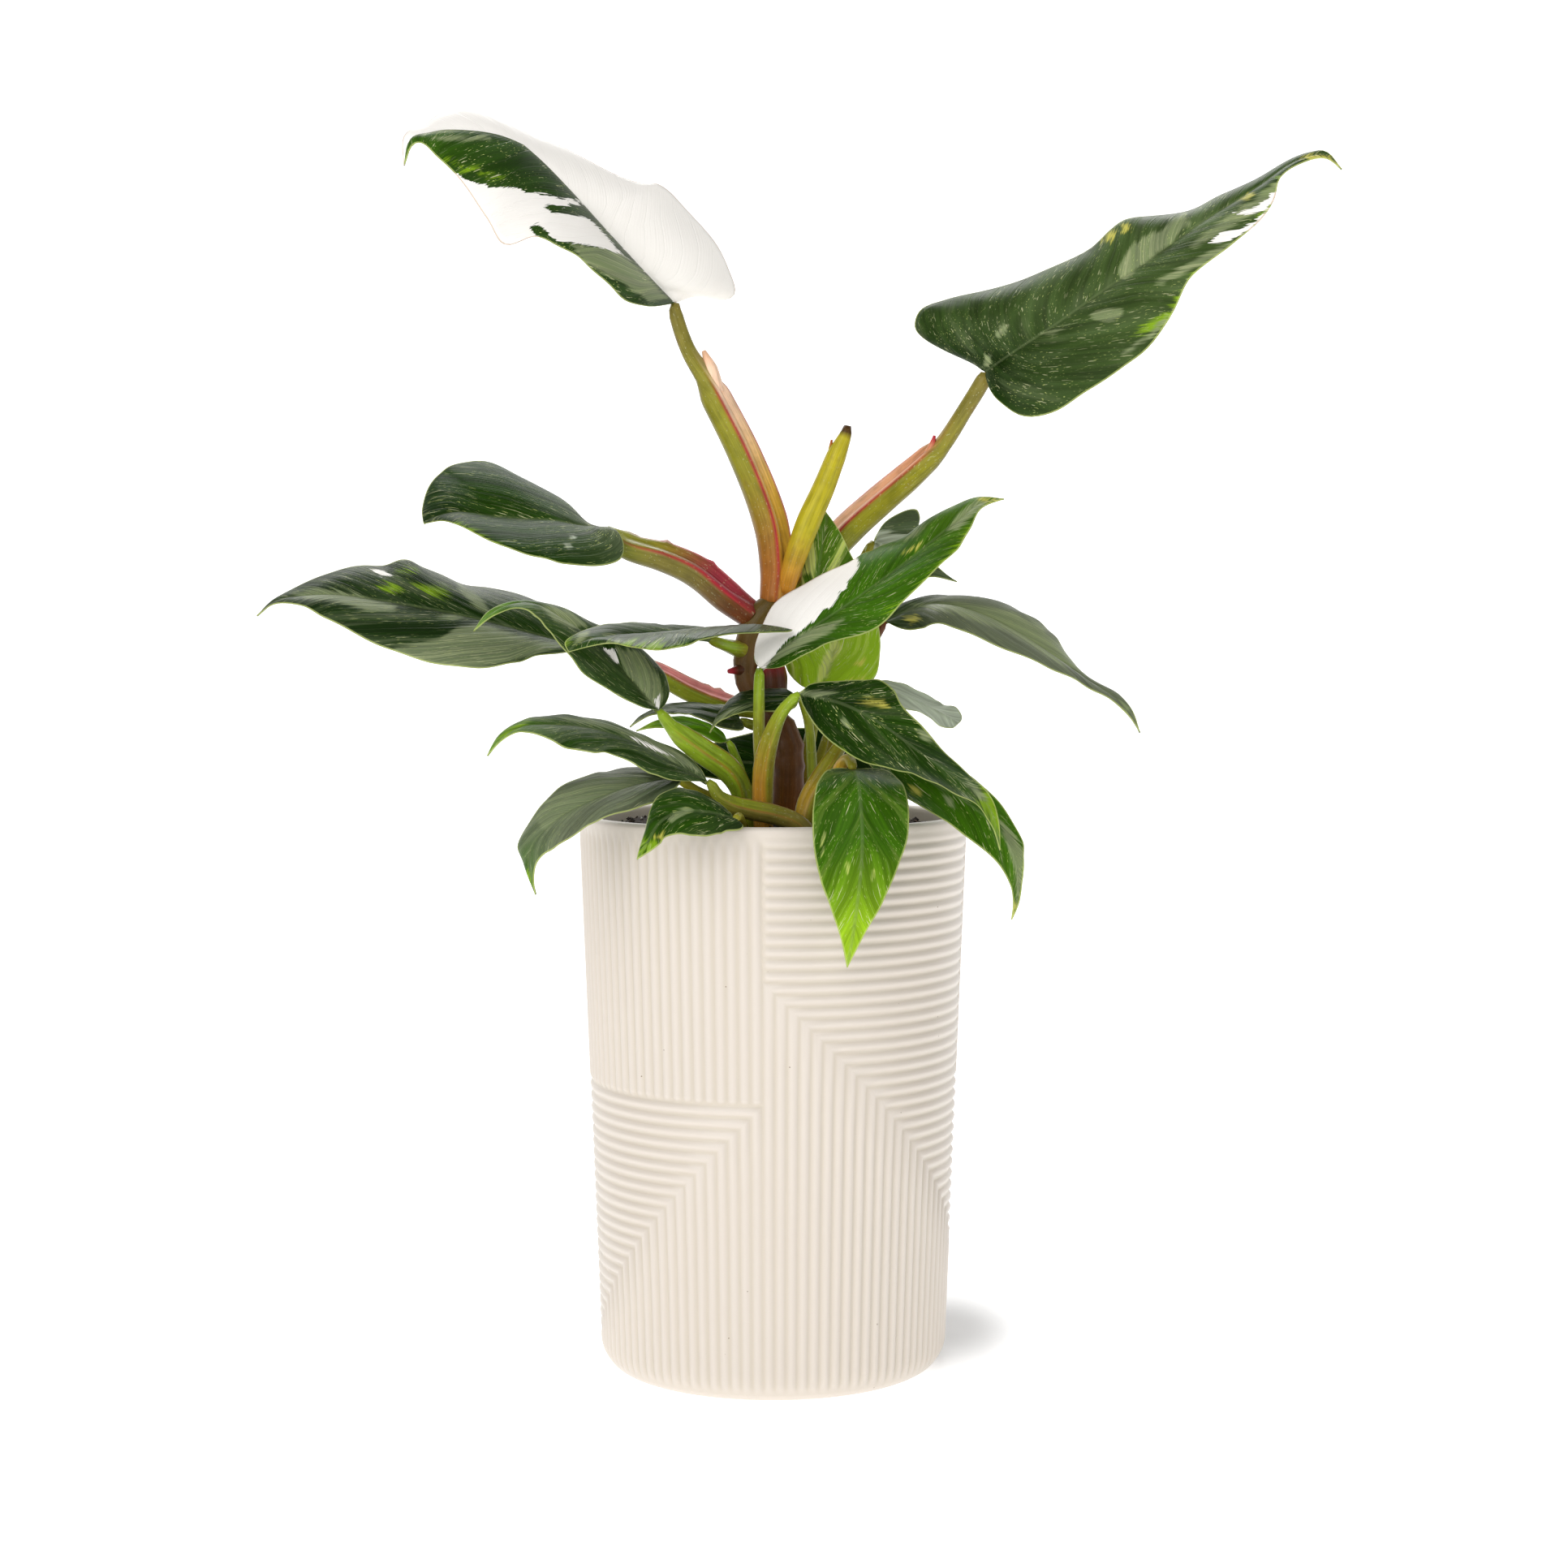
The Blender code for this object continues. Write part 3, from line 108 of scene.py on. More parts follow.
# Blades: mm, or shares of the length along the rib and of the half width across it
ROWS = 13
FINE_ROWS = 84
FINE_ACROSS = 22
FIRST_ROW = 0.04
ROWS_SHORT = 0.03
RIB_EASE = 1.35
EDGE_EASE = 1.25
RIB_PULL = 0.85
PULL_FROM = 0.7
PULL_SPAN = 0.3
THICKNESS = 0.5
EDGE_THINNING = 0.6
CUP = 0.32
RIPPLES = 4.2
FRILLS = 15
FRILL_SHARE = 0.3
WAVE_IN = 5
WAVE_OUT = 3.5
VEIN_PITCH = 6.5
VEIN_SWEEP = 1.9
VEIN_SWELL = 0.06
RIB_GROOVE = 0.35
GROOVE_WIDTH = 0.9
GROOVE_FADE = 0.6
KEEL = 0.9
LEAST_KEEL = 0.15
KEEL_WIDTH = 1.2

# Stalks: turns in degrees from the middle of the groove, heights in shares of the radius
STALK_SIDES = 32
TIP_SIDES = 12
STALK_STEP = 2.0
GROOVE_SPREAD = 27.0
GROOVE_SINK = 0.55
WING_TURN = 54.0
WING_SPREAD = 12.0
WING_HEIGHT = 0.16
TEETH_TURN = 45.0
TEETH_SPREAD = 9.0
INNER_TURN = 46.0
NODE_SCARS = 0.12
NODE_PACE = 0.55
BITE_PACE = 0.33
LEAST_BITE = 0.12
UNEVEN = 0.012
BACK_SHADE = 0.5
STOUT_RADIUS = 5
DEGREES_IN_RADIAN = 57.3
# Its umber end at the soil is partly painted shade.
PLAIN_STALK = ("olive", "olive", "umber", "olive", "umber", "red")

# Seeds
CRUMB_SEED = 31
STEM_SEED = 50.0
STEM_TIP_SEED = 60.0
LEAF_SEED = 10.0
LEAF_SEED_STEP = 3.7

# Gloss of the waxy and of the soft leaves, and which leaves are soft
WAXY = 0.16
SOFT = 0.05
SOFT_LEAVES = ("leaf_top_right", "leaf_half_white", "leaf_upright", "leaf_front_right", "leaf_under_right",
               "leaf_front_hanging", "leaf_over_rim", "leaf_mid_left", "leaf_dark_centre", "young_leaf_left",
               "leaf_shaded_back")

# Glaze and soil colours, in linear light
GLAZE_GROOVE = (0.61, 0.545, 0.455, 1.0)
GLAZE_RIDGE = (0.665, 0.60, 0.53, 1.0)
GLAZE_CLOUD = (0.645, 0.575, 0.50, 1.0)
GLAZE_SPECK = (0.25, 0.18, 0.12, 1.0)
SOIL_DARK = (0.012, 0.009, 0.007, 1.0)
SOIL_BROWN = (0.07, 0.048, 0.034, 1.0)
SOIL_LUMP = (0.03, 0.02, 0.014, 1.0)
BARK_CHIP = (0.16, 0.09, 0.05, 1.0)
PERLITE = (0.72, 0.7, 0.66, 1.0)
WHITE = (1.0, 1.0, 1.0, 1.0)
LEAF_SHEEN = (1.0, 1.0, 0.8, 1.0)

# Stage: metres and watts, but mm for the painted shadow beside the foot, where the paper's glow fades out
LIGHTS = (("key", (-0.6, -1.3, 0.95), (0.0, 0.0, 0.2), 1.5, 16.0),
          ("fill", (1.2, -0.9, 0.5), (0.0, 0.0, 0.18), 1.0, 3.8),
          ("low", (-0.65, -1.2, 0.12), (0.0, 0.0, 0.16), 0.8, 2.2),
          ("sheen", (-0.05, 0.7, 1.15), (0.0, 0.0, 0.22), 0.6, 5.5))
SKY_LIGHT = 0.26
PAPER_GLOW = 0.8
SHADOW_SQUEEZE = (2.0, 1.0, 1.0)
SHADOW_MIDDLE = (112.0, 36.0, 0.0)
SHADOW_FROM = 8.0
SHADOW_TO = 74.0
BEND_START = 0.9
BEND_RADIUS = 0.5
PAPER_SIDE = 2.2
PAPER_FRONT = -1.6
PAPER_TOP = 2.6

# Each leaf: its rows if not ROWS, how wavy its edge is and where its groove faces, then routes of
# (across, up, depth): the rib from the base to the tip, the left and right edge between those two
# points, and the stalk from the base on to the root, with its radii and how far its sheath is open,
# if it has one. A tip is a free end of a sheath.
LEAVES = {
    "leaf_top_left": dict(
        rows=16, wave=0.8, face=(1, -0.7, 0.4),
        rib=[(-33, 146, -8), (-43.5, 157, -20), (-55.5, 170, -32), (-65.5, 181, -42), (-75.5, 191, -50),
             (-85, 198, -57), (-95, 200, -63), (-105, 199.5, -68), (-112.5, 197, -71),
             (-115.5, 187.5, -71)],
        left=[(-41, 145, -24), (-47, 147, -34), (-53, 152, -42), (-60.5, 158, -50), (-68, 162.5, -56),
              (-76, 166, -62), (-84.5, 164, -66), (-90, 172.5, -70), (-97.5, 182.5, -73), (-105, 190, -74),
              (-111.5, 194.5, -73)],
        right=[(-27, 148, 2), (-16, 148, 8), (-16.5, 156, 6), (-21, 165, 1), (-31, 176.5, -8),
               (-38, 182, -15), (-44, 182.5, -20), (-55.5, 186.5, -28), (-68, 193.5, -36), (-80, 199, -44),
               (-88, 203.5, -50), (-95, 206, -55), (-104, 204, -61), (-109.5, 200, -66),
               (-115.3, 196.8, -70)],
        stalk=[(-33, 143, -8), (-29.2, 132, -7), (-24, 123.5, -6), (-21, 118, -5), (-12, 100, -2),
               (-4.4, 80, 1), (-2.4, 66, 1), (-3, 55, 0.4)],
        radii=(1.2, 2.1, 2.3, 2.9, 4.6, 5, 5.3, 5, 4.4), sheath=(0, 0, 0, 0.2, 0.8, 0.9, 0.9, 0.6, 0.2),
        tips=[([(-21, 119, -5), (-22.3, 126, -6), (-24.4, 131.6, -6.5)], (3, 2.2, 0.6))]),
    "leaf_top_right": dict(
        rows=18, wave=0.8, face=(-0.8, -0.6, 0.8),
        rib=[(61, 125, -12), (71, 132, -16), (82.5, 139.5, -20), (94.5, 148, -25), (112, 160, -32),
             (129, 172, -39), (144, 182, -45), (155.5, 189, -49), (163.5, 191, -52), (169.6, 186.6, -54)],
        left=[(57.5, 127.5, -8), (48, 132, -3), (41.5, 136, 0), (39.5, 139.5, 2), (41.5, 144.5, 2),
              (48, 147, 1), (62.5, 150, -2), (77.5, 154.5, -6), (92, 161.5, -12), (99.5, 168.5, -16),
              (104, 171.5, -19), (112, 173, -22), (124, 175, -28), (132, 179, -32), (144, 184, -39),
              (154, 189.5, -45), (159, 191.5, -48), (164.5, 192, -51)],
        right=[(62.5, 120, -18), (65.5, 116, -22), (73, 111.5, -28), (82.5, 113, -32), (91.5, 119.5, -36),
               (101.5, 126, -39), (109.5, 132, -42), (117, 140.5, -44), (123, 152, -46), (129, 158, -48),
               (136.5, 164.5, -50), (144, 171, -52), (148.5, 178, -53), (150.5, 184, -52), (156, 188, -52),
               (164, 190, -53)],
        stalk=[(61, 123.5, -12), (54.5, 112.8, -8), (48.2, 103.2, -4), (44.1, 99.2, -2), (36.8, 92.6, 2),
               (28.2, 85.3, 8), (18.8, 76.7, 14), (9, 65.5, 13.5), (2.5, 57, 8), (-1, 53, 3)],
        radii=(1.2, 2.4, 2.4, 2.7, 3.9, 4.5, 4.8, 5.1, 4.8, 4, 3),
        sheath=(0, 0, 0, 0.2, 0.7, 0.8, 0.8, 0.7, 0.5, 0.3, 0),
        tips=[([(43, 98, -3), (45, 103, -4.5), (45.7, 105.8, -5)], (1.8, 1, 0.4))]),
    "leaf_mid_left": dict(
        wave=0.5, face=(0.4, -0.7, 1),
        rib=[(-54, 77.5, 0), (-62, 78.5, -1), (-70, 80, -2), (-78, 80.5, -3), (-90, 81.2, -5),
             (-100, 80.8, -8), (-109.5, 79, -12)],
        left=[(-50.5, 76.5, -6), (-48.5, 72.5, -10), (-50, 68.3, -13), (-56, 66.5, -16), (-65.5, 66.3, -20),
              (-75.5, 69, -23), (-85, 72.5, -25), (-95, 77, -24), (-102.5, 79.6, -20)],
        right=[(-58.5, 77.4, 7), (-63, 78.6, 13), (-66.2, 85, 18), (-72, 89.5, 20), (-78, 92.3, 20),
               (-87.5, 96.8, 17), (-95, 97.6, 13), (-102.5, 95.8, 7), (-107.5, 91, 1), (-109.8, 84, -6)],
        stalk=[(-51, 74.5, 1), (-47.5, 72, 1), (-36, 68.7, 1), (-26.4, 64.2, 1), (-17.3, 56.8, 0),
               (-9.5, 51, 0)],
        radii=(1.2, 3.3, 3.9, 4.6, 4.9, 4.9, 4.3), sheath=(0, 0.3, 0.5, 0.8, 0.9, 0.8, 0.3)),
    "leaf_far_left": dict(
        wave=0.9, face=(0.2, -0.6, 1),
        rib=[(-60, 41, -8), (-75.5, 45.5, -12), (-92.5, 50, -16), (-110, 53.5, -21), (-129.5, 56.5, -26),
             (-144.5, 57, -30), (-154, 55.8, -33), (-160.3, 51, -34)],
        left=[(-65.5, 40, -16), (-75.5, 39.2, -22), (-84, 36.5, -27), (-95, 34.7, -31), (-107.5, 36.5, -33),
              (-120, 41, -35), (-129.5, 46, -36), (-139.5, 51, -36), (-147, 54, -36), (-154.5, 54.5, -35)],
        right=[(-57, 45, 2), (-65.5, 50, 4), (-78, 57.5, 2), (-90, 60.2, 0), (-100, 61.8, -3),
               (-110, 65.5, -7), (-116, 67.5, -10), (-122, 66.3, -13), (-131, 66.5, -17), (-139.5, 64, -21),
               (-148, 60, -26), (-155, 56, -31)],
        stalk=[(-58, 40.5, -8), (-50, 38, -5), (-38, 33.5, -1), (-28.5, 28.5, 1), (-18.5, 24.5, 2),
               (-9.5, 22.5, 2), (-5.5, 21.6, 1)],
        radii=(1.1, 1.9, 2.2, 3.3, 3.6, 3.4, 2.6, 2.4), sheath=(0, 0, 0.3, 0.8, 0.9, 0.7, 0.2, 0)),
    "leaf_folded_left": dict(
        wave=0.5, face=(0.5, -1, 0.9),
        rib=[(-38, 22.4, -34), (-44.5, 29.5, -35), (-52, 38, -36), (-59.5, 45, -38), (-68, 50.5, -41),
             (-75, 54.4, -44), (-82.8, 54.6, -47), (-90, 51.3, -50), (-94.5, 46.3, -52)],
        left=[(-43.5, 23.4, -40), (-52, 28.2, -43), (-60.5, 33.5, -45), (-65.5, 39, -47),
              (-70.5, 44.6, -49), (-74.5, 50.5, -50), (-77.5, 53, -50), (-83, 53.2, -51), (-89.5, 50, -52)],
        right=[(-36, 24.5, -30), (-35, 29, -27), (-37.2, 35.5, -26), (-43.5, 41.5, -26), (-49, 45.2, -28),
               (-58, 48.6, -31), (-68, 53.6, -36), (-75.5, 55.8, -41), (-83, 55.6, -46), (-90, 52.2, -49)],
        stalk=[(-37, 21, -34), (-34.5, 17.8, -33), (-31, 14.5, -32), (-25, 10, -29), (-17, 4.2, -25),
               (-13, -2, -22), (-12, -9, -20), (-12, -17, -19), (-12, -26, -19)],
        radii=(0.9, 1.6, 2, 3.2, 3.7, 3.7, 3.2, 3, 2.8, 2.6),
        sheath=(0, 0, 0.2, 0.7, 0.8, 0.8, 0.5, 0, 0, 0)),
    "leaf_edge_on": dict(
        wave=0.4, face=(0.2, -0.4, 1),
        rib=[(-23, 44.4, -20), (-36, 45.2, -30), (-46, 45.2, -40), (-56, 45, -49), (-62, 43.2, -53),
             (-65.5, 40, -55)],
        left=[(-13, 45.6, -21), (-2, 46.2, -23), (2.5, 47.2, -26), (0, 46.4, -30), (-10, 45.8, -36),
              (-24, 43.7, -45), (-31, 42, -50), (-38, 41, -55), (-46, 41.4, -58), (-52, 42.6, -58),
              (-59, 41.6, -57)],
        right=[(-22.5, 46.4, -16), (-26, 47.8, -13.5), (-33, 48.6, -16), (-41, 48.7, -25), (-49, 48.6, -35),
               (-56.5, 48.2, -44), (-62.5, 46, -50), (-66.5, 43, -54)],
        stalk=[(-21.5, 43.6, -18), (-18, 42.4, -12), (-14.5, 41.3, -5), (-12.5, 40.8, -1)],
        radii=(0.8, 1.6, 2, 2.6, 2.8), sheath=(0, 0.2, 0.5, 0.6, 0.2)),
    "leaf_low_left": dict(
        wave=0.7, face=(0.2, -0.8, 1),
        rib=[(-23, 0.8, -44), (-33.5, 6.5, -48), (-46, 13, -53), (-58, 16.8, -57), (-70.5, 18, -61),
             (-80.5, 16.8, -64), (-86.5, 13.3, -65), (-90.3, 8.5, -66)],
        left=[(-32.3, 1, -54), (-41, 4, -59), (-51, 8.2, -63), (-58, 9.4, -66), (-64.3, 10.8, -68),
              (-70.5, 13.6, -69), (-78, 15.8, -69), (-84.5, 13.8, -68)],
        right=[(-28.5, 7.6, -41), (-38.4, 13.6, -43), (-51, 18, -48), (-63, 20, -53), (-73, 20.8, -57),
               (-80.5, 19.4, -61), (-86.5, 15, -64)],
        stalk=[(-22, -0.2, -43.5), (-20, -3.6, -42), (-16, -6.4, -40), (-10, -8, -38), (-3, -9.4, -37),
               (4, -12, -36), (8.5, -17.5, -35), (9, -26, -34)],
        radii=(0.9, 1.5, 1.9, 2.7, 2.9, 2.9, 2.8, 2.6, 2.4), sheath=(0, 0, 0.3, 0.7, 0.8, 0.6, 0.3, 0, 0)),
    "leaf_droop_left": dict(
        wave=0.6, face=(0.2, -0.8, 1),
        rib=[(-33, 2.2, -46), (-46, -0.5, -51), (-60.5, -6, -56), (-70.5, -12, -60), (-76.5, -20, -62),
             (-75.5, -33.8, -62)],
        left=[(-31.5, 0.2, -50), (-37, -4, -56), (-46, -7.6, -61), (-55.7, -11.3, -64), (-65.5, -16.5, -66),
              (-72.5, -21, -66), (-75.5, -25.5, -64)],
        right=[(-36.5, 5, -42), (-41, 5.2, -42), (-48.3, 5.2, -43), (-58, 3.2, -47), (-68, -1.5, -51),
               (-75.5, -9, -55), (-81, -18, -58), (-79, -24.5, -60)],
        stalk=[(-32, 1.6, -45), (-27, -1.8, -41), (-21, -5, -36), (-15, -10, -32), (-11, -17, -30),
               (-10, -26, -29)],
        radii=(0.8, 1.3, 1.5, 1.7, 1.8, 1.8, 1.8)),
    "leaf_over_rim": dict(
        rows=11, wave=0.6, face=(0.2, -0.8, 1),
        rib=[(-15, -10.4, -61), (-23.5, -8.6, -64), (-31, -8.4, -67), (-37, -11.3, -70), (-41.4, -17, -72),
             (-44.8, -22.9, -73)],
        left=[(-12.5, -13.4, -64), (-17.5, -14.2, -67), (-21.2, -15.5, -69), (-26, -16.3, -71),
              (-32.3, -15.2, -72), (-36, -15.9, -73), (-38.2, -18.8, -74), (-42, -21.4, -74)],
        right=[(-17.5, -8, -58), (-23.5, -3, -58), (-31.5, -1.2, -59), (-38.8, -4.7, -63),
               (-41.6, -10.8, -67), (-43.4, -17.6, -71)],
        stalk=[(-14.5, -10.2, -60), (-13.5, -10, -53), (-12.8, -12.4, -47), (-12.5, -17.5, -43),
               (-12.5, -26, -41)],
        radii=(0.7, 1.1, 1.2, 1.3, 1.3, 1.3)),
    "leaf_half_white": dict(
        wave=0.7, face=(-0.5, -0.8, 0.6),
        rib=[(-7.5, 35, -22), (0, 41.5, -24), (8.5, 47.2, -25), (23, 57, -24), (38, 68, -21),
             (50.5, 78, -17), (59, 85, -14), (67, 86.7, -12)],
        left=[(-9, 38.5, -19), (-7, 48.3, -13), (-2.7, 55.5, -12), (6, 61, -12), (16, 65.2, -11),
              (22.5, 68.3, -10), (27.5, 71.5, -9), (35.5, 75.4, -8), (43, 80.2, -8), (52.7, 85, -9),
              (59.5, 87, -11)],
        right=[(0, 35.6, -29), (8.5, 40.2, -33), (16, 44.2, -34), (23.2, 45.4, -34), (30.5, 49, -33),
               (36.8, 55.2, -32), (45.3, 63.8, -29), (52.2, 71, -25), (56.5, 77.9, -21), (60, 83.6, -16)],
        stalk=[(-7.5, 34, -22.3), (-7.6, 27, -24), (-7.6, 14, -23), (-6.8, 0, -18.5), (-5.5, -17, -15.5),
               (-5.5, -26, -15.5)],
        radii=(0.9, 1.5, 1.7, 1.8, 1.9, 1.9, 1.9)),
    "leaf_long_right": dict(
        wave=0.8, face=(-0.3, -0.8, 0.9),
        rib=[(30.5, 49.5, 18), (37, 52.4, 19), (45.3, 54.8, 21), (57.7, 52.6, 23), (70, 46.8, 24),
             (82.3, 38.4, 25), (90, 32.6, 26), (99.8, 26.5, 26), (105, 21.2, 26), (108.3, 15.4, 26)],
        left=[(34.5, 54.2, 23), (44.8, 57.6, 28), (54.3, 57.4, 31), (62.7, 56.1, 33), (68.2, 54.5, 34),
              (73.5, 51.2, 34), (79, 47.2, 34), (84.4, 42.2, 33), (89.6, 35.6, 31), (94.1, 31.5, 30),
              (101.4, 27.2, 28), (105.6, 22.4, 27)],
        right=[(35.5, 47, 14), (40.5, 46.6, 12), (44, 48.6, 11), (48, 49.2, 11), (52.5, 47.8, 11),
               (62.8, 42.4, 13), (78.6, 35.5, 16), (89.2, 31.4, 20), (99, 26, 23), (104.4, 20.9, 25)],
        stalk=[(29.5, 48, 18), (24, 38, 18), (18, 24, 18), (14, 4, 17), (12.5, -17, 16), (12.5, -26, 16)],
        radii=(0.9, 1.6, 1.8, 2.1, 2.2, 2.2, 2.2), sheath=(0, 0, 0, 0.3, 0, 0, 0)),
    "leaf_upright": dict(
        wave=0.5, face=(0, -1, 0.3),
        rib=[(10.8, 28.6, 9), (14.5, 38.4, 8), (13.3, 51, 6.5), (10, 63, 4.5), (10, 74, 4),
             (12.8, 82.7, 4.5)],
        left=[(5, 30, 8), (0.5, 36, 7), (2, 43, 6), (5, 53, 5), (5.5, 64.3, 3.5), (7.9, 75, 3.5),
              (10.3, 80, 4)],
        right=[(20.5, 28.6, 10), (27.5, 32.3, 11), (29.3, 41, 11), (28.6, 48.5, 9), (25.6, 60.5, 6),
               (20.7, 69, 5), (17, 76.5, 4.5)],
        stalk=[(10.5, 27, 9), (8, 14, 9), (6, 0, 9), (5.5, -17, 9), (5.5, -26, 9)],
        radii=(0.9, 1.6, 1.9, 2.1, 2.1, 2.1), sheath=(0, 0, 0.3, 0.3, 0, 0)),
    "leaf_front_right": dict(
        wave=0.8, face=(-0.5, -0.9, 0.5),
        rib=[(4.7, 27.4, -34), (11, 26.2, -37), (18.3, 24.2, -41), (29.3, 18.3, -50), (41.6, 9.4, -60),
             (52.7, 1.5, -68), (60.6, -4.7, -74), (64.2, -11.5, -78), (65.8, -20.3, -80)],
        left=[(5.8, 23.7, -38), (9.6, 17.5, -44), (15.8, 11.8, -50), (24.4, 7, -57), (33, 4.4, -63),
              (43, 1, -69), (52.7, -2.7, -75), (59, -6.2, -79), (63, -12.5, -81)],
        right=[(8.4, 30.4, -31), (18.2, 31.4, -33), (28, 32.2, -37), (33, 29, -41), (35.9, 23.5, -46),
               (42.1, 17, -52), (49.4, 9.6, -59), (58.2, 1.6, -68), (63.2, -4.7, -73), (65, -11, -77)],
        stalk=[(3.5, 26.4, -33.8), (-0.8, 21.5, -32.5), (-4.3, 13, -31), (-6, 5, -29), (-6.4, -4, -27),
               (-6, -17, -26), (-6, -26, -26)],
        radii=(0.9, 1.6, 1.9, 2.6, 3, 3, 2.8, 2.6), sheath=(0, 0, 0.2, 0.7, 0.8, 0.6, 0, 0)),
    "leaf_under_right": dict(
        wave=0.7, face=(-0.5, -0.9, 0.5),
        rib=[(19.5, 15, -20), (26, 11, -26), (35.5, 5.2, -35), (50.3, -2.2, -45), (62.5, -10.8, -52),
             (69.5, -19.5, -55), (71.4, -29.3, -56), (70.7, -35.5, -56), (69.2, -41.4, -56)],
        left=[(20.5, 10, -27), (25, 6.8, -33), (30.5, 1.8, -39), (38, -4.7, -45), (47.8, -10.8, -51),
              (57.7, -17.7, -55), (65, -23.7, -58), (68.8, -30.6, -58), (69.6, -36, -57)],
        right=[(24, 18.5, -19), (33, 16, -23), (45.3, 10, -31), (55.2, 2.7, -39), (62, -2.2, -44),
               (68.8, -9.6, -49), (72.8, -17, -52), (73, -22, -54), (72.2, -30, -55), (71.4, -36, -56)],
        stalk=[(18.6, 14, -20), (15, 8, -21), (11, 1.5, -23), (7, -6, -25), (5, -17, -26), (5, -26, -26)],
        radii=(0.9, 1.7, 2.4, 2.8, 2.9, 2.6, 2.4), sheath=(0, 0.2, 0.6, 0.7, 0.4, 0, 0)),
    "leaf_front_hanging": dict(
        wave=0.6, face=(0, -1, 0.8),
        rib=[(21, 4.5, -46), (22, 3, -57), (23, -2.5, -64), (23.8, -15.8, -69), (23.2, -28, -71),
             (21.3, -43, -70), (19.2, -56, -68)],
        left=[(16, 4.6, -46), (11.5, 2.5, -52), (9.3, -2, -60), (8.6, -9, -65), (9, -18.5, -68),
              (10.8, -28, -69), (13.8, -37, -69), (17.2, -47, -69)],
        right=[(28, 4.6, -46), (34, 2.8, -51), (37.2, -2, -58), (37.8, -9, -62), (37.4, -16, -64),
               (35, -24.5, -66), (30.5, -35.5, -68), (24.5, -45.5, -68)],
        stalk=[(20.8, 5.4, -44.5), (19.5, 7.6, -38), (16.5, 4, -31), (14.5, -5, -27), (14.5, -17, -26),
               (14.5, -26, -26)],
        radii=(0.8, 1.4, 1.7, 1.9, 1.9, 1.9, 1.9)),
    "leaf_behind_low_right": dict(
        rows=9, wave=0.6, face=(-0.2, -0.6, 1),
        rib=[(23, 28.6, 32), (35.5, 26.8, 37), (45.3, 22.5, 42), (52.7, 18, 45)],
        left=[(26, 24, 29), (31, 25, 30), (37, 23, 33), (43, 20.5, 37), (47, 17.8, 40), (51, 17, 43)],
        right=[(26, 31, 36), (33, 30.8, 42), (45.5, 26.6, 48), (48.5, 24, 49), (52.4, 22.8, 49),
               (54, 20, 48)],
        stalk=[(22, 28, 32), (15, 18, 29), (10, 2, 26), (9, -17, 25), (9, -26, 25)],
        radii=(0.8, 1.4, 1.7, 1.9, 1.9, 1.9)),
    "leaf_behind_high_right": dict(
        rows=9, wave=0.4, face=(-0.2, -0.6, 1),
        rib=[(27, 73.5, 30), (36, 70, 34), (44, 65, 36), (49, 63.6, 37), (52.6, 61.2, 38)],
        left=[(24.5, 71.5, 28), (26, 67.5, 29), (32, 64, 31), (40.5, 62.4, 34), (46, 62.8, 36)],
        right=[(30.5, 79.2, 32), (35.8, 82.6, 34), (39.9, 83.4, 35), (41.2, 81, 36), (40.7, 75, 38),
               (43.5, 69, 39), (47.5, 65, 38)],
        stalk=[(26.3, 72.5, 29.5), (20, 62, 27), (12, 54, 22), (2, 47, 15), (-7, 43, 4)],
        radii=(0.8, 1.3, 1.5, 1.7, 1.8, 1.9), sheath=(0, 0, 0, 0, 0.2, 0.2)),
    "leaf_dark_centre": dict(
        rows=8, wave=0.3, face=(0, -0.6, 1),
        rib=[(4.7, 26, -16), (-5, 25.4, -17), (-13, 23.8, -19.5), (-19, 20.6, -23), (-22.7, 15.6, -26)],
        left=[(3, 23, -19), (-6, 21.8, -20), (-14, 21.4, -23), (-19.4, 19, -25.5)],
        right=[(0, 28.8, -11), (-8.5, 28.8, -9.5), (-15, 26.6, -13), (-19.6, 22.2, -20)],
        stalk=[(5.4, 25.4, -15.5), (7.5, 18, -12.5), (8.5, 4, -10), (9, -17, -9), (9, -26, -9)],
        radii=(0.7, 1.2, 1.4, 1.6, 1.6, 1.6)),
    "leaf_dark_left": dict(
        rows=8, wave=0.3, face=(0, -0.6, 1),
        rib=[(-13, 19.5, -8), (-21, 21.4, -9), (-31, 22.8, -12), (-38, 22.4, -15), (-42.2, 20.8, -17),
             (-47, 17.3, -18)],
        left=[(-12.5, 16.5, -11), (-18.7, 17.2, -14), (-27.4, 20.4, -17), (-34.7, 21.6, -18),
              (-40, 21, -18.5), (-43.5, 19.2, -18.5)],
        right=[(-16.5, 23.4, -5), (-24, 24.6, -4), (-33, 24.4, -6), (-39.5, 22.8, -11), (-43.8, 20.6, -15)],
        stalk=[(-12.4, 19, -7.5), (-10.5, 18.2, -5), (-7.5, 17.4, -1), (-3.5, 16.6, 0)],
        radii=(0.7, 1.3, 1.5, 1.7, 1.7)),
    "young_leaf_left": dict(
        rows=8, wave=0.2, face=(0.2, -0.6, 1),
        rib=[(-17, 13, -18), (-24, 17.6, -19), (-32, 19, -20.5), (-39, 18.3, -22), (-45, 16.2, -23)],
        left=[(-20, 12.4, -19.5), (-26, 15.4, -21.5), (-32.5, 17, -23), (-39, 17, -23.5)],
        right=[(-19, 16, -17.5), (-25, 19.4, -18), (-32.3, 20.5, -19.5), (-39, 19.3, -21.4)],
        stalk=[(-16.4, 12.2, -17.5), (-13.5, 5, -14), (-10.5, -6, -10), (-9, -17, -8), (-9, -26, -8)],
        radii=(0.7, 1.2, 1.4, 1.6, 1.6, 1.6)),
    "leaf_shaded_back": dict(
        rows=10, wave=0.4, face=(0, -0.6, 1),
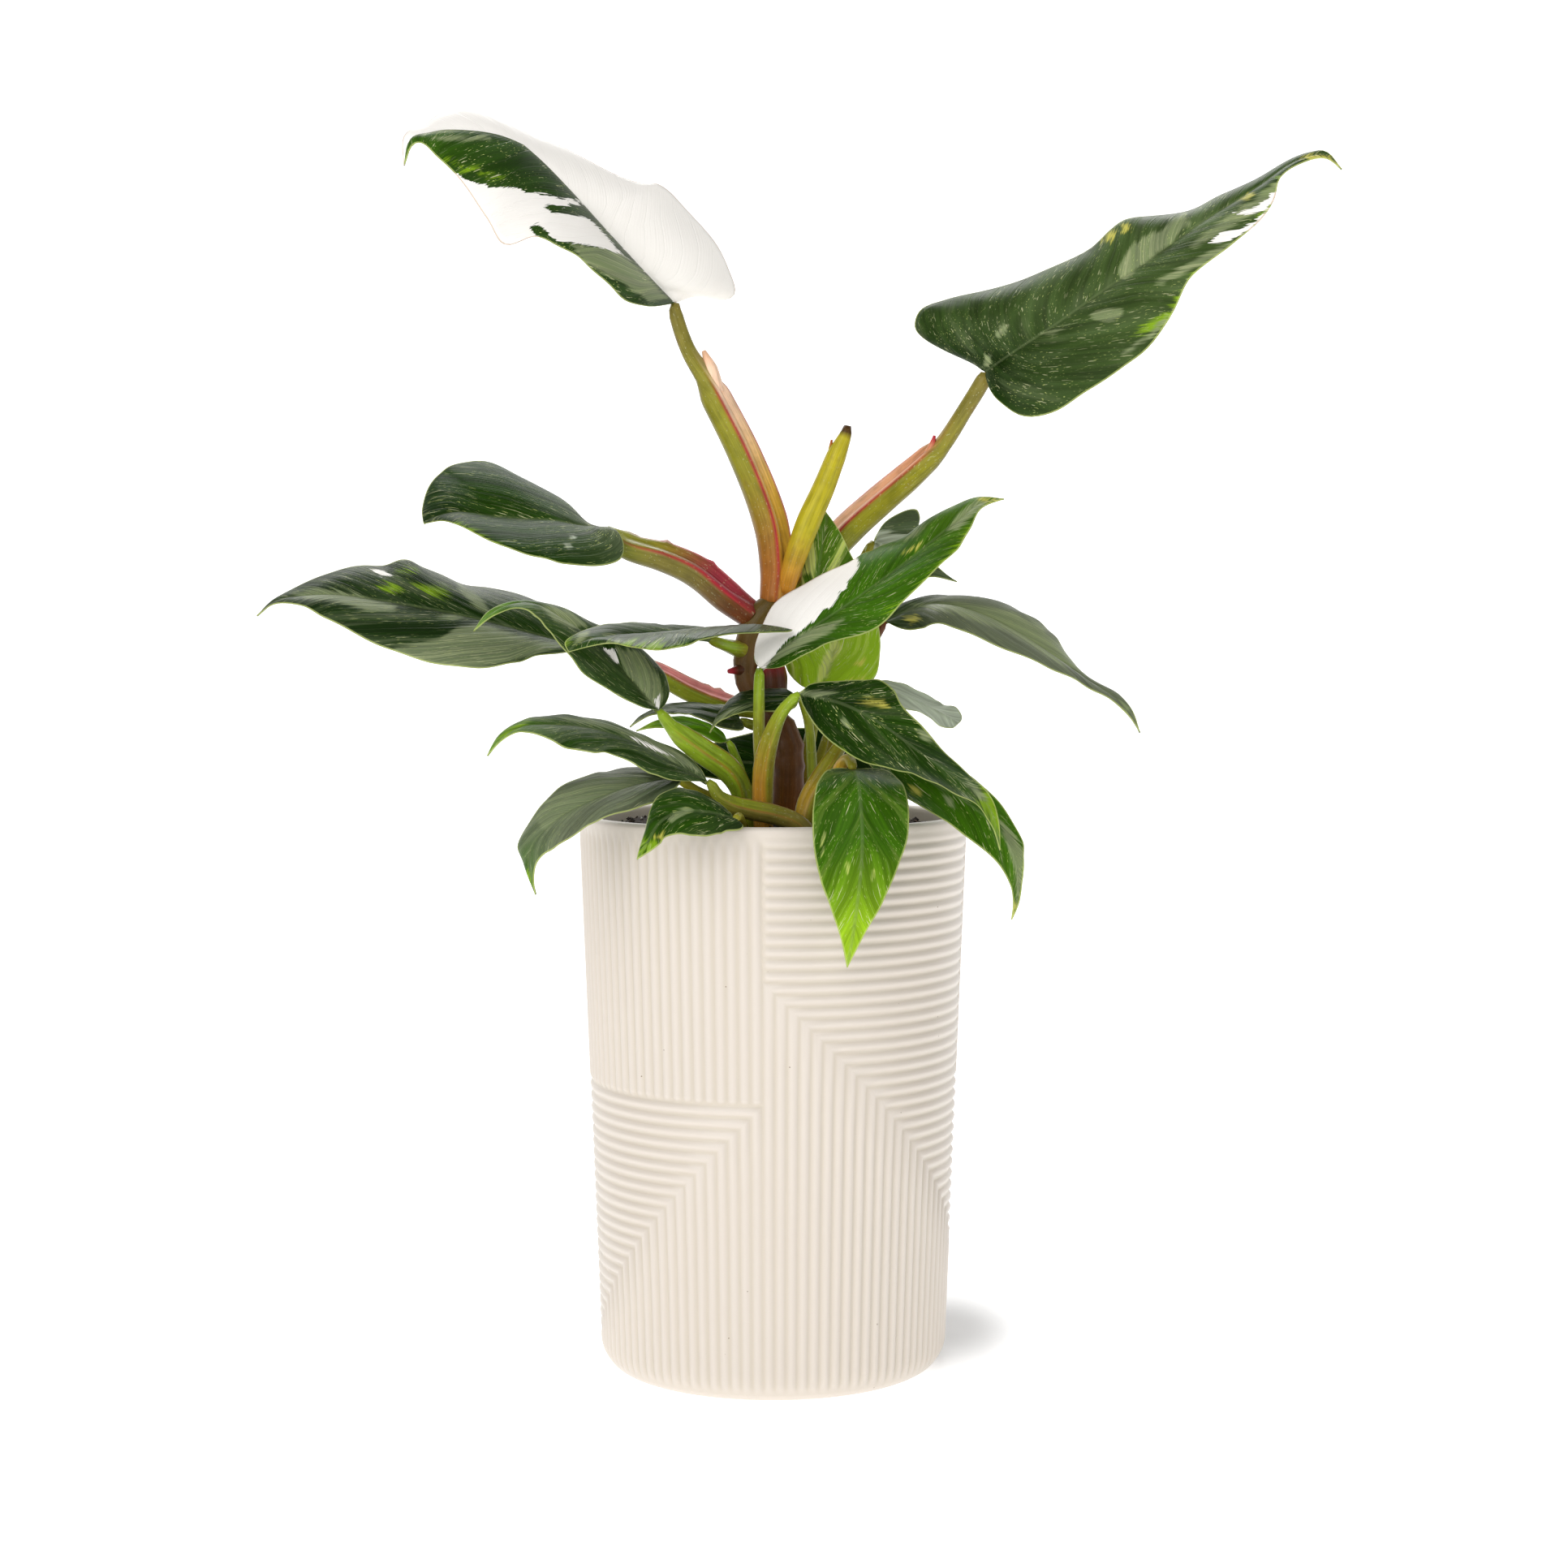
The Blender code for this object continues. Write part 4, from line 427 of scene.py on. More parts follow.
        rib=[(29, 0, 36), (20, 4, 37), (10, 5, 37), (0, 5.5, 36), (-10, 6.5, 34), (-20, 7, 31),
             (-29, 6.5, 28), (-35, 4.5, 26)],
        left=[(27, -5.4, 34.5), (18, -7.2, 33.5), (8, -7.2, 33.5), (-2, -6.8, 33), (-10, -4, 31.5),
              (-17, 0.5, 30), (-24, 2, 28), (-30, 2.8, 27)],
        right=[(30, 6, 38), (26, 12, 40), (16, 16, 41), (6, 17, 41), (-4, 16.5, 40), (-12, 15, 38),
               (-20, 13, 35), (-27, 10.8, 31), (-31, 8.5, 28.5)],
        stalk=[(30.5, -0.6, 36), (32, -4, 35.4), (32, -10, 34.5), (30.5, -17, 33), (30, -26, 32)],
        radii=(0.8, 1.3, 1.5, 1.6, 1.6, 1.6)),
}

# The stems: route from the root up, radii, and where the front faces
STEMS = {
    "main_stem": dict(
        route=[(0.3, -26, 0), (0.3, -17, 0), (0.9, -6, 0), (1.2, 5, 0), (0.4, 14, 0), (-5.6, 23, 0),
               (-11.2, 31, 0), (-11.2, 40, 0), (-8.6, 48.5, 0), (-4.2, 54, 0), (-2.6, 56.4, 0)],
        radii=(4.2, 4.5, 4.8, 4.9, 4.6, 3.9, 3.3, 3.9, 4.4, 4.2, 2.6), face=(0, -1, 0),
        tips=[([(-12, 35, -1), (-14.2, 34.6, -3), (-17, 34.2, -4.5)], (2.4, 1.5, 0.6)),
              ([(-5.5, 21, 0), (-3.4, 25, 0.5), (-3.2, 32, 0.8), (-4.4, 37, 0.5), (-8.5, 39.4, 0)],
               (2.4, 3.9, 4.3, 3.6, 2))]),
    "new_shoot": dict(
        route=[(0.6, 58.5, -1), (1.6, 63, -2.5), (3.8, 70, -3.5), (7.6, 80, -4), (12.1, 90, -4),
               (16, 100, -4), (18.8, 106.4, -4), (19.3, 108.8, -4)],
        radii=(2.4, 3, 3.4, 3.7, 3.4, 3, 1.8, 1.1), face=(0, -1, 0),
        tips=[([(13.8, 97, -4), (14.1, 101.5, -4), (14.5, 104.5, -4)], (1.1, 0.7, 0.3))]),
}

# Colours as seen, 0 to 255
PALETTE = dict(
    deep=(20, 44, 5), dark=(32, 60, 7), mid=(54, 94, 9), fresh=(86, 134, 14), lime=(142, 180, 30),
    # The grey on the next line is painted sheen on the leaves; their paler undersides take it too.
    sheen_grey=(100, 108, 84), pale=(128, 142, 98), gold=(208, 200, 92), milk=(250, 246, 240),
    cream=(206, 208, 160), olive=(140, 136, 36), moss=(132, 142, 36), amber=(192, 128, 42),
    red=(168, 74, 34), crimson=(176, 40, 58), pink=(236, 150, 146), rose=(236, 186, 150), bark=(74, 42, 24),
    rust=(160, 98, 40), brown=(96, 62, 34), yellow=(176, 164, 34), lemon=(206, 196, 84),
    tan=(190, 156, 120), sage=(204, 214, 194), honey=(204, 160, 58), salmon=(206, 140, 100),
    margin=(190, 200, 120), spring=(140, 168, 40), umber=(88, 70, 28), drab=(124, 114, 48),
    russet=(104, 56, 28), chartreuse=(196, 208, 104), acid=(172, 208, 44), fern=(70, 104, 20),
    # The first two colours on the next line are dull grey-greens, painted sheen on the leaves.
    fog=(112, 126, 90), sheen_dusk=(64, 84, 40), blush=(244, 206, 176), wine=(142, 48, 58))

# Each leaf's tones at its base, middle and tip, how freckled and mottled it is and how much painted grey
# sheen it has, its stalk's colours if not PLAIN_STALK (outside at the start, middle and end of its route,
# groove at both ends, wing line), and the outlines of its marks on the board as across, up pairs. Tones in
# the sheen greys are painted sheen, and a darker end colour at the soil is partly painted shade. Marks in
# "pale" take the colour "paint"; they are partly the leaf's own pale marbling, partly painted sheen. A leaf
# with "green" marks is white but for these, and white all over beyond its rib.
# The upper side of a leaf that is "turned" lies on the other side of its outline.
LOOKS = {
    "leaf_top_left": dict(
        tones=("dark", "dark", "mid"), habit=(1, 0, 0.1), tip="rose", sweep=0.9,
        stalk=("drab", "olive", "rust", "blush", "honey", "crimson"),
        green=[(-116, 187.5, -115, 196.5, -103.5, 200.5, -90, 200.5, -83.5, 198.5, -76, 193, -67, 185,
                -59.5, 175.5, -64.5, 177.5, -69.5, 178.5, -78.5, 179.5, -81.5, 181, -87.5, 181, -94, 182.5,
                -99.5, 185, -103.5, 188, -111, 194.5, -113.5, 189.5), (-73.5, 175, -71.5, 176, -68, 175.5,
                -63.5, 176, -61.5, 175, -59, 176, -53.5, 168, -57, 170, -60.5, 172, -65.5, 173,
                -70.5, 173.5), (-33, 146, -43.5, 157, -55.5, 170, -61, 176, -62.5, 174.5, -56.8, 169,
                -44.8, 156, -34.5, 144.5), (-77.5, 169, -74.5, 170, -69.5, 165, -62.5, 164, -54.5, 162.5,
                -49, 160.5, -45, 157.5, -40, 153, -35, 148, -31.5, 144, -41, 143, -51.5, 147.5, -56, 153.5,
                -65.5, 158.5, -70.5, 163, -75, 166)],
        pale=[(-65, 164, -54.5, 162.5, -49, 160.5, -41, 153.5, -35.5, 147.5, -41, 146, -49, 152,
               -60.5, 158), (-115, 196.5, -103.5, 201, -90, 200, -97, 198.5, -110, 197), (-107.5, 196,
               -90, 197, -89, 195.5, -100, 195)],
        lime=[(-103, 189.5, -92, 186.3, -86, 184.2, -92, 185, -99, 186.5)]),
    "leaf_top_right": dict(
        # Its dull middle tone is painted sheen.
        tones=("deep", "sheen_dusk", "dark"), habit=(0.5, 0.1, 0.3), sweep=0.9,
        stalk=("drab", "olive", "moss", "salmon", "rose", "crimson"),
        white=[(128.5, 164, 133, 167.5, 138.5, 168.5, 143, 171, 148.5, 175, 147, 172, 141, 168,
                134.5, 164.5), (136.5, 173.5, 143, 175, 149.5, 180, 150, 177.5, 145.5, 174, 139.5, 172.5)],
        pale=[(92.5, 142.5, 97.5, 144.5, 103, 144.5, 103.5, 142, 100, 140, 96, 140), (102, 131, 109, 135.5,
               117, 142.5, 115, 138, 107.5, 132.5, 103.5, 130), (101.5, 155.5, 106, 164, 115, 169,
               122, 174.5, 123.5, 170, 117, 163.5, 107.5, 156.5, 103.5, 152.5), (112.5, 152.5, 119.5, 156,
               130.5, 162.5, 137.5, 165, 130.5, 159.5, 121.5, 155, 114.5, 151.5), (122, 163, 131.5, 170,
               145.5, 179.5, 154.5, 187, 148, 176.5, 134.5, 168, 125, 162.5), (77, 136.5, 82.5, 138.5,
               88.5, 139, 82.5, 136.5), (64, 135.5, 65.5, 139.5, 68.5, 140, 67.5, 136.5), (60, 126.5,
               61.5, 130.5, 63.5, 130.5, 62, 126.5)],
        gold=[(96, 163.5, 98, 167.5, 101.5, 169, 100.5, 165), (103, 170, 105.5, 170, 105, 167.5,
               103, 167.5), (138, 177.5, 141.5, 180, 143.5, 179, 141, 176.5), (156, 189.5, 159, 191.5,
               166, 191, 170, 186, 166, 188.5, 160, 189)],
        lime=[(106, 136, 117, 144.5, 125, 155, 131.5, 159.5, 124, 149.5, 114.5, 137), (146.5, 179,
               150.5, 183.5, 149.5, 176.5, 144, 171.5)]),
    "leaf_mid_left": dict(
        # Its grey base tone is painted sheen.
        tones=("sheen_grey", "dark", "deep"), habit=(1, 0, 0.1), paint="sage", teeth=4,
        stalk=("moss", "drab", "russet", "olive", "wine", "crimson"),
        pale=[(-67, 73, -64.5, 73, -64, 71.5, -66.5, 71), (-65, 75.5, -63.5, 75.5, -63.5, 74.5, -65, 74.5)],
        lime=[(-100, 79, -92, 75.5, -84, 71, -86, 71, -95, 74.5)]),
    "leaf_far_left": dict(
        # Its pale marks, in a dull grey-green, are painted sheen.
        tones=("dark", "deep", "deep"), habit=(0.6, 0.2, 0.3), paint="fog", teeth=3,
        stalk=("spring", "moss", "moss", "pink", "pink", "crimson"),
        white=[(-125.5, 65, -122, 65, -119, 63, -122.5, 63)],
        pale=[(-150, 57.5, -141.5, 59.5, -131.5, 58, -124, 55.5, -117.5, 54, -118.5, 52.5, -126.5, 52.5,
               -135, 55, -144.5, 56), (-120.5, 41.5, -112, 42.5, -104.5, 44, -99.5, 47.5, -92, 48.5,
               -80.5, 45, -66.5, 41.5, -74.5, 39.5, -85, 36.5, -95, 34, -106, 35.5, -115.5, 38.5),
              (-100, 61.5, -93, 57.5, -89, 51.5, -93.5, 53.5, -98.5, 58.5), (-106, 50.5, -102, 51.5,
               -97, 51, -100.5, 49.5)],
        lime=[(-118, 65, -112, 65, -112.5, 63.5, -117, 64), (-123, 59.5, -118.5, 60.5, -116.5, 58.5,
               -120.5, 58), (-112, 61, -103, 59.5, -101, 57, -108, 57)]),
    "leaf_folded_left": dict(
        tones=("dark", "dark", "fresh"), habit=(0.5, 0.1, 0.3),
        stalk=("spring", "spring", "olive", "spring", "moss", "red"),
        white=[(-55, 41, -51.5, 41, -50, 36.5, -51.5, 37), (-39.5, 25.5, -38, 27, -38, 23, -39, 23.5)],
        pale=[(-51.5, 41.5, -43.5, 40, -40.5, 36, -37.5, 31.5, -36.5, 26.5, -38, 22.5, -41, 24, -43.5, 28.5,
               -47, 32.5, -49.5, 36.5), (-74.5, 54.5, -65.5, 52.5, -60, 48, -64.5, 47, -70, 49.5)]),
    "leaf_edge_on": dict(
        tones=("dark", "dark", "dark"), habit=(0.7, 0, 0),
        stalk=("moss", "spring", "olive", "spring", "olive", "red"),
        pale=[(-64, 42, -62, 46, -59, 46.5, -61, 43), (-55.5, 42.5, -50, 44, -50, 42.5, -54.5, 41.5)],
        lime=[(-52.5, 43, -43.5, 43, -35.5, 42, -27, 42.2, -36, 40.5, -48, 41), (-68, 46, -64, 47, -65, 43,
               -67, 41)]),
    "leaf_low_left": dict(
        # Its pale marks, in a dull grey-green, are painted sheen.
        tones=("dark", "dark", "fresh"), habit=(0.6, 0.1, 0.6), paint="fog",
        stalk=("moss", "drab", "umber", "moss", "drab", "red"),
        white=[(-47, 14.5, -40, 11.5, -33.5, 8, -40, 10.5, -46, 13.5)],
        pale=[(-68.5, 20.5, -57.5, 19.5, -43, 15, -33, 10, -22.5, 2, -31, 5.5, -41.5, 11, -51.5, 16,
               -61, 18, -67, 19.5)],
        lime=[(-91, 7.5, -84.5, 16.5, -77.5, 19.5, -80.5, 16.5, -87, 12)]),
    "leaf_droop_left": dict(
        # Its grey middle tone and its pale marks, in a dull grey-green, are painted sheen.
        tones=("dark", "sheen_grey", "mid"), habit=(0.4, 0.2, 0.6), paint="fog",
        pale=[(-76, -11, -70, -3, -58, 1.5, -44, 3, -40, 1, -50, -3, -60, -7, -68, -12, -72, -15),
              (-76, -12, -72, -5, -66, -1, -70, -6, -73, -11)],
        lime=[(-79.5, -27, -77, -27, -75, -35.5, -77.5, -32)]),
    "leaf_over_rim": dict(
        tones=("deep", "dark", "mid"), habit=(0.6, 0.05, 0),
        pale=[(-36, -10.6, -33, -8.6, -30, -7.4, -28, -8, -30.5, -9.6, -34, -11.6), (-42, -8.5, -41, -9.5,
               -42.5, -14.5, -44, -13.5)],
        gold=[(-39.5, -16, -36.5, -14.5, -37, -17, -39, -17)],
        lime=[(-46, -23, -43, -17, -37, -17, -39.5, -20.5)]),
    "leaf_half_white": dict(
        tones=("dark", "mid", "fern"), habit=(0.5, 0, 0), sweep=1.3,
        stalk=("spring", "olive", "amber", "spring", "amber", "amber"),
        white=[(-7, 33.5, -10, 41, -8, 51.5, -4, 56.5, 2, 61, 11, 65, 21.5, 69.5, 23, 67.5, 21.5, 64,
                19.5, 61.5, 19, 59, 17, 58.5, 16, 56, 14.5, 53.5, 12, 53, 10.5, 51, 6, 47, 1, 43.5,
                -2.5, 39.5, -5.5, 35.5)],
        pale=[(-6.5, 35, 0.5, 42.5, 8, 47, 18.5, 50, 14, 46, 3.5, 40.5), (49.5, 77, 53, 82, 58.5, 86,
               62, 86, 56.5, 80.5, 52.5, 77), (36, 73.5, 39, 77, 43.5, 79, 40.5, 75), (9, 45.5, 11.5, 47.5,
               14.5, 47, 12, 45.5)],
        gold=[(36, 69.5, 39, 72, 42.5, 73.5, 40, 71), (59, 86.5, 67, 87, 66.5, 85, 61, 85.5)],
        lime=[(30, 50.5, 38, 56, 47.5, 67, 56, 77, 56, 74.5, 48, 63, 38, 53)]),
    "leaf_long_right": dict(
        # Its grey tones, its grey clouds and its big pale mark are painted sheen.
        tones=("dark", "sheen_grey", "sheen_grey"), habit=(0.3, 0, 1.6),
        stalk=("russet", "olive", "olive", "olive", "amber", "red"),
        pale=[(38, 54.5, 52.5, 55, 70, 52, 85, 42, 94.5, 31.5, 82.5, 37, 67.5, 46, 52.5, 51.5), (73, 51.5,
               80, 47, 78, 45.5), (101.5, 26, 105, 23, 104, 21)],
        gold=[(36, 50.5, 40, 51.5, 42, 50, 38.5, 48)]),
    "leaf_upright": dict(
        tones=("acid", "fern", "fern"), habit=(1, 0.8, 0), paint="chartreuse",
        stalk=("spring", "olive", "amber", "olive", "amber", "red"),
        pale=[(16, 46, 17.5, 41, 14.5, 37, 13.5, 32.5, 9.5, 30.5, 11.5, 38, 14, 42), (8, 75, 9.5, 73.5,
               10, 68, 8.5, 63.5, 6, 64, 6.5, 68.5)],
        gold=[(21, 36.5, 24.5, 38, 23.5, 36), (20.5, 31.5, 25.5, 34, 25, 30.5)],
        lime=[(6, 46.5, 18, 48.5, 30.5, 48.5, 30.5, 28.5, 16, 28, 6, 31)]),
    "leaf_front_right": dict(
        tones=("deep", "dark", "fern"), habit=(0.9, 0.1, 0), sweep=1.3, turned=True,
        stalk=("spring", "olive", "rust", "olive", "amber", "red"),
        pale=[(4.5, 28, 11.5, 28.5, 16.5, 27.5, 11.5, 26, 7, 26.5), (17, 19, 18.5, 20, 20, 17, 18, 17),
              (40, 16.5, 43.5, 16, 45.5, 13, 42, 13.5), (55, 1.5, 59, -1.5, 62.5, -6, 59, -4.5)],
        gold=[(22, 24.8, 26.5, 26, 30.5, 25.6, 32, 23.5, 29.5, 22.8, 25, 23.8)],
        lime=[(8, 15.5, 20.5, 7, 33, 3, 45.5, -2, 35.5, 0, 20.5, 4.5), (60.5, -1, 65, -4.5, 67.5, -20.5,
               63, -13.5, 59, -6)]),
    "leaf_under_right": dict(
        tones=("dark", "mid", "fern"), habit=(0.9, 0.1, 0), turned=True,
        stalk=("olive", "olive", "umber", "olive", "amber", "red"),
        pale=[(64.5, -10, 69, -14, 73, -20.5, 72.5, -30.5, 70.5, -37, 70, -26, 67, -17), (48.5, -3.5,
               51, -4.5, 51.5, -7.5, 49.5, -6.5), (27.5, 7, 29.5, 6.5, 38, -4.5, 35.5, -3.5)],
        gold=[(38, -0.5, 42, -1.5, 41.5, -4, 39, -3), (69.5, -35.5, 71, -36, 69.5, -43, 68, -42.5)]),
    "leaf_front_hanging": dict(
        tones=("dark", "mid", "lime"), habit=(0.7, 0.1, 0), paint="chartreuse", sweep=1.2, turned=True,
        stalk=("olive", "honey", "rust", "honey", "amber", "red"),
        pale=[(11, -22, 11, -17, 12.3, -14, 12.8, -15, 12, -21), (19, -27, 19.4, -24, 20, -24, 19.6, -27.5),
              (26.6, -29, 26.8, -26, 27.4, -26, 27.2, -29.5)]),
    # Pale sage all over: painted light shining through this leaf from behind.
    "leaf_behind_low_right": dict(tones=("sage", "sage", "sage"), habit=(0.2, 0, 0)),
    "leaf_behind_high_right": dict(
        tones=("dark", "dark", "dark"), habit=(0.5, 0.1, 0.3), paint="sage",
        pale=[(22, 70.5, 24, 77, 30, 77, 37, 76, 40, 74, 36, 71, 27, 69)]),
    "leaf_dark_centre": dict(
        tones=("deep", "deep", "dark"), habit=(0.5, 0, 0.2),
        stalk=("moss", "moss", "olive", "moss", "olive", "red"),
        pale=[(-23, 15, -21, 20, -16.5, 23, -9, 24, -16.5, 21, -20, 18)]),
    "leaf_dark_left": dict(
        # Its grey tip tone and grey clouds are painted sheen.
        tones=("dark", "dark", "sheen_grey"), habit=(0.4, 0, 0.9),
        stalk=("moss", "moss", "olive", "moss", "olive", "red")),
    "young_leaf_left": dict(
        tones=("fresh", "fresh", "lime"), habit=(0.1, 0.1, 0),
        stalk=("spring", "spring", "olive", "spring", "olive", "red")),
    # Deep green and umber all over: painted shade deep inside the plant.
    "leaf_shaded_back": dict(
        tones=("deep", "deep", "deep"), habit=(0.2, 0, 0),
        stalk=("umber", "umber", "umber", "umber", "umber", "red")),
    "main_stem": dict(stalk=("rust", "brown", "umber", "bark", "bark", "crimson")),
    "new_shoot": dict(dry=3.5, stalk=("amber", "yellow", "yellow", "yellow", "lemon", "red")),
}


def seen(across, up, depth):
    """The point depth mm behind the board, on the line of sight through its spot (across, up), in mm."""
    ray = BOARD_AWAY * AHEAD + np.array((across, 0.0, 0.0)) + up * ABOVE
    return EYE + ray * (depth - EYE[1]) / ray[1]


def on_board(points):
    """Where points in mm show on the board, as across and up."""
    away = points - EYE
    scale = BOARD_AWAY / (away @ AHEAD)
    return np.stack((away[:, 0] * scale, (away @ ABOVE) * scale), axis=1)


def smooth_route(points, steps):
    """A smooth curve through the points, as steps + 1 points evenly spaced along it, or at given stations."""
    p = np.array(points, float)
    p = np.vstack((2 * p[0] - p[1], p, 2 * p[-1] - p[-2]))
    dense = []
    for a, b, c, d in zip(p[:-3], p[1:-2], p[2:-1], p[3:]):
        span = max(np.linalg.norm(c - b), 1e-9)
        start = (c - a) * span / max(np.linalg.norm(c - a), 1e-9)
        end = (d - b) * span / max(np.linalg.norm(d - b), 1e-9)
        for t in np.linspace(0, 1, 16, endpoint=False):
            dense.append((2 * t**3 - 3 * t**2 + 1) * b + (t**3 - 2 * t**2 + t) * start
                         + (3 * t**2 - 2 * t**3) * c + (t**3 - t**2) * end)
    dense.append(p[-2])
    dense = np.array(dense)
    along = np.concatenate(([0.0], np.cumsum(np.linalg.norm(np.diff(dense, axis=0), axis=1))))
    stations = np.asarray(steps) if np.ndim(steps) else np.linspace(0, 1, steps + 1)
    return np.stack([np.interp(stations * along[-1], along, dense[:, k]) for k in range(3)], axis=1)


def shares_along(control):
    """How far along its own length each point of a route lies, and that length."""
    spans = np.linalg.norm(np.diff(control, axis=0), axis=1)
    return np.concatenate(([0.0], np.cumsum(spans))) / spans.sum(), spans.sum()


def row_stations(control, rows):
    """Where the rows meet an edge: at its own points as far as the number of rows allows."""
    at, _ = shares_along(control)
    spots = np.linspace(0, rows, len(at))
    if len(at) <= rows + 1:
        spots = np.round(spots)
    return np.interp(np.arange(rows + 1), spots, at)


def shut(radii):
    """The openings of a stalk without a sheath."""
    return (0.0,) * len(radii)


def leaf_routes(leaf):
    """A leaf's rib, edges and stalk, each with the ends that it shares with the rib."""
    base, tip = leaf["rib"][0], leaf["rib"][-1]
    return dict(rib=leaf["rib"], left=[base, *leaf["left"], tip], right=[base, *leaf["right"], tip],
                stalk=[base, *leaf["stalk"]])


def units(v):
    """The directions of vectors."""
    return v / np.maximum(np.linalg.norm(v, axis=-1, keepdims=True), 1e-9)


def linear(name):
    """A palette colour as linear light."""
    return np.array([(c / 255 / 12.92) if c / 255 <= 0.04045 else ((c / 255 + 0.055) / 1.055) ** 2.4
                     for c in PALETTE[name]])


def smoothstep(low, high, value):
    """A soft step from nought at low to one at high."""
    t = np.clip((value - low) / (high - low), 0, 1)
    return t * t * (3 - 2 * t)


def inside(spots, outline):
    """How far inside an outline each spot lies, in mm: below nought outside it."""
    ring = np.array(outline, float).reshape(-1, 2)
    nearest = np.full(len(spots), 1e9)
    crossings = np.zeros(len(spots), int)
    for a, b in zip(ring, np.roll(ring, -1, axis=0)):
        t = np.clip(((spots - a) @ (b - a)) / max((b - a) @ (b - a), 1e-9), 0, 1)
        nearest = np.minimum(nearest, np.linalg.norm(spots - a - t[:, None] * (b - a), axis=1))
        straddles = (a[1] > spots[:, 1]) != (b[1] > spots[:, 1])
        rise = b[1] - a[1] if abs(b[1] - a[1]) > 1e-9 else 1e-9
        crossings += straddles & (spots[:, 0] < (b[0] - a[0]) * (spots[:, 1] - a[1]) / rise + a[0])
    return np.where(crossings % 2 == 1, nearest, -nearest)


def field(spots, outlines):
    """The deepest that each spot lies inside any of the outlines, held between -20 and 20 mm."""
    depth = np.full(len(spots), -20.0)
    for outline in outlines:
        depth = np.maximum(depth, inside(spots, outline))
    return np.clip(depth, -20, 20)


class Shape:
    """Points, faces and values per point of one piece, gathered from its parts."""

    VALUES = ("flow", "spots", "more_spots", "habit", "tint", "paint")

    def __init__(self):
        self.points, self.faces, self.finish = [], [], []
        self.values = {key: [] for key in self.VALUES}
        self.count = 0

    def add(self, points, faces, finish, **values):
        """Take in a part: finish is the number of its material, values are for all or for each point."""
        self.points.append(points)
        self.faces += [tuple(self.count + i for i in face) for face in faces]
        self.finish += [finish] * len(faces)
        for key in self.VALUES:
            self.values[key].append(np.broadcast_to(values.get(key, (0.0, 0.0, 0.0)), (len(points), 3)))
        self.count += len(points)

    def piece(self, name, materials, node=None):
        """Make the mesh in metres and give it its body and the node that it replaces."""
        mesh = bpy.data.meshes.new(name)
        mesh.from_pydata((np.vstack(self.points) * MM).tolist(), [], self.faces)
        for key in self.VALUES:
            layer = mesh.attributes.new(key, "FLOAT_VECTOR", "POINT")
            layer.data.foreach_set("vector", np.vstack(self.values[key]).astype(np.float32).ravel())
        for material in materials:
            mesh.materials.append(material)
        mesh.polygons.foreach_set("material_index", self.finish)
        mesh.validate()
        mesh.shade_smooth()
        obj = bpy.data.objects.new(name, mesh)
        bpy.context.scene.collection.objects.link(obj)
        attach(obj, "root")
        if node:
            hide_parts(node)
        return obj


def tube_faces(rings, sides):
    """The side quads and the two caps of a tube of closed rings."""
    faces = []
    for i in range(rings - 1):
        for k in range(sides):
            a, b = i * sides + k, i * sides + (k + 1) % sides
            faces.append((a, b, b + sides, a + sides))
    faces.append(tuple(range(sides - 1, -1, -1)))
    last = (rings - 1) * sides
    faces.append(tuple(range(last, last + sides)))
    return faces


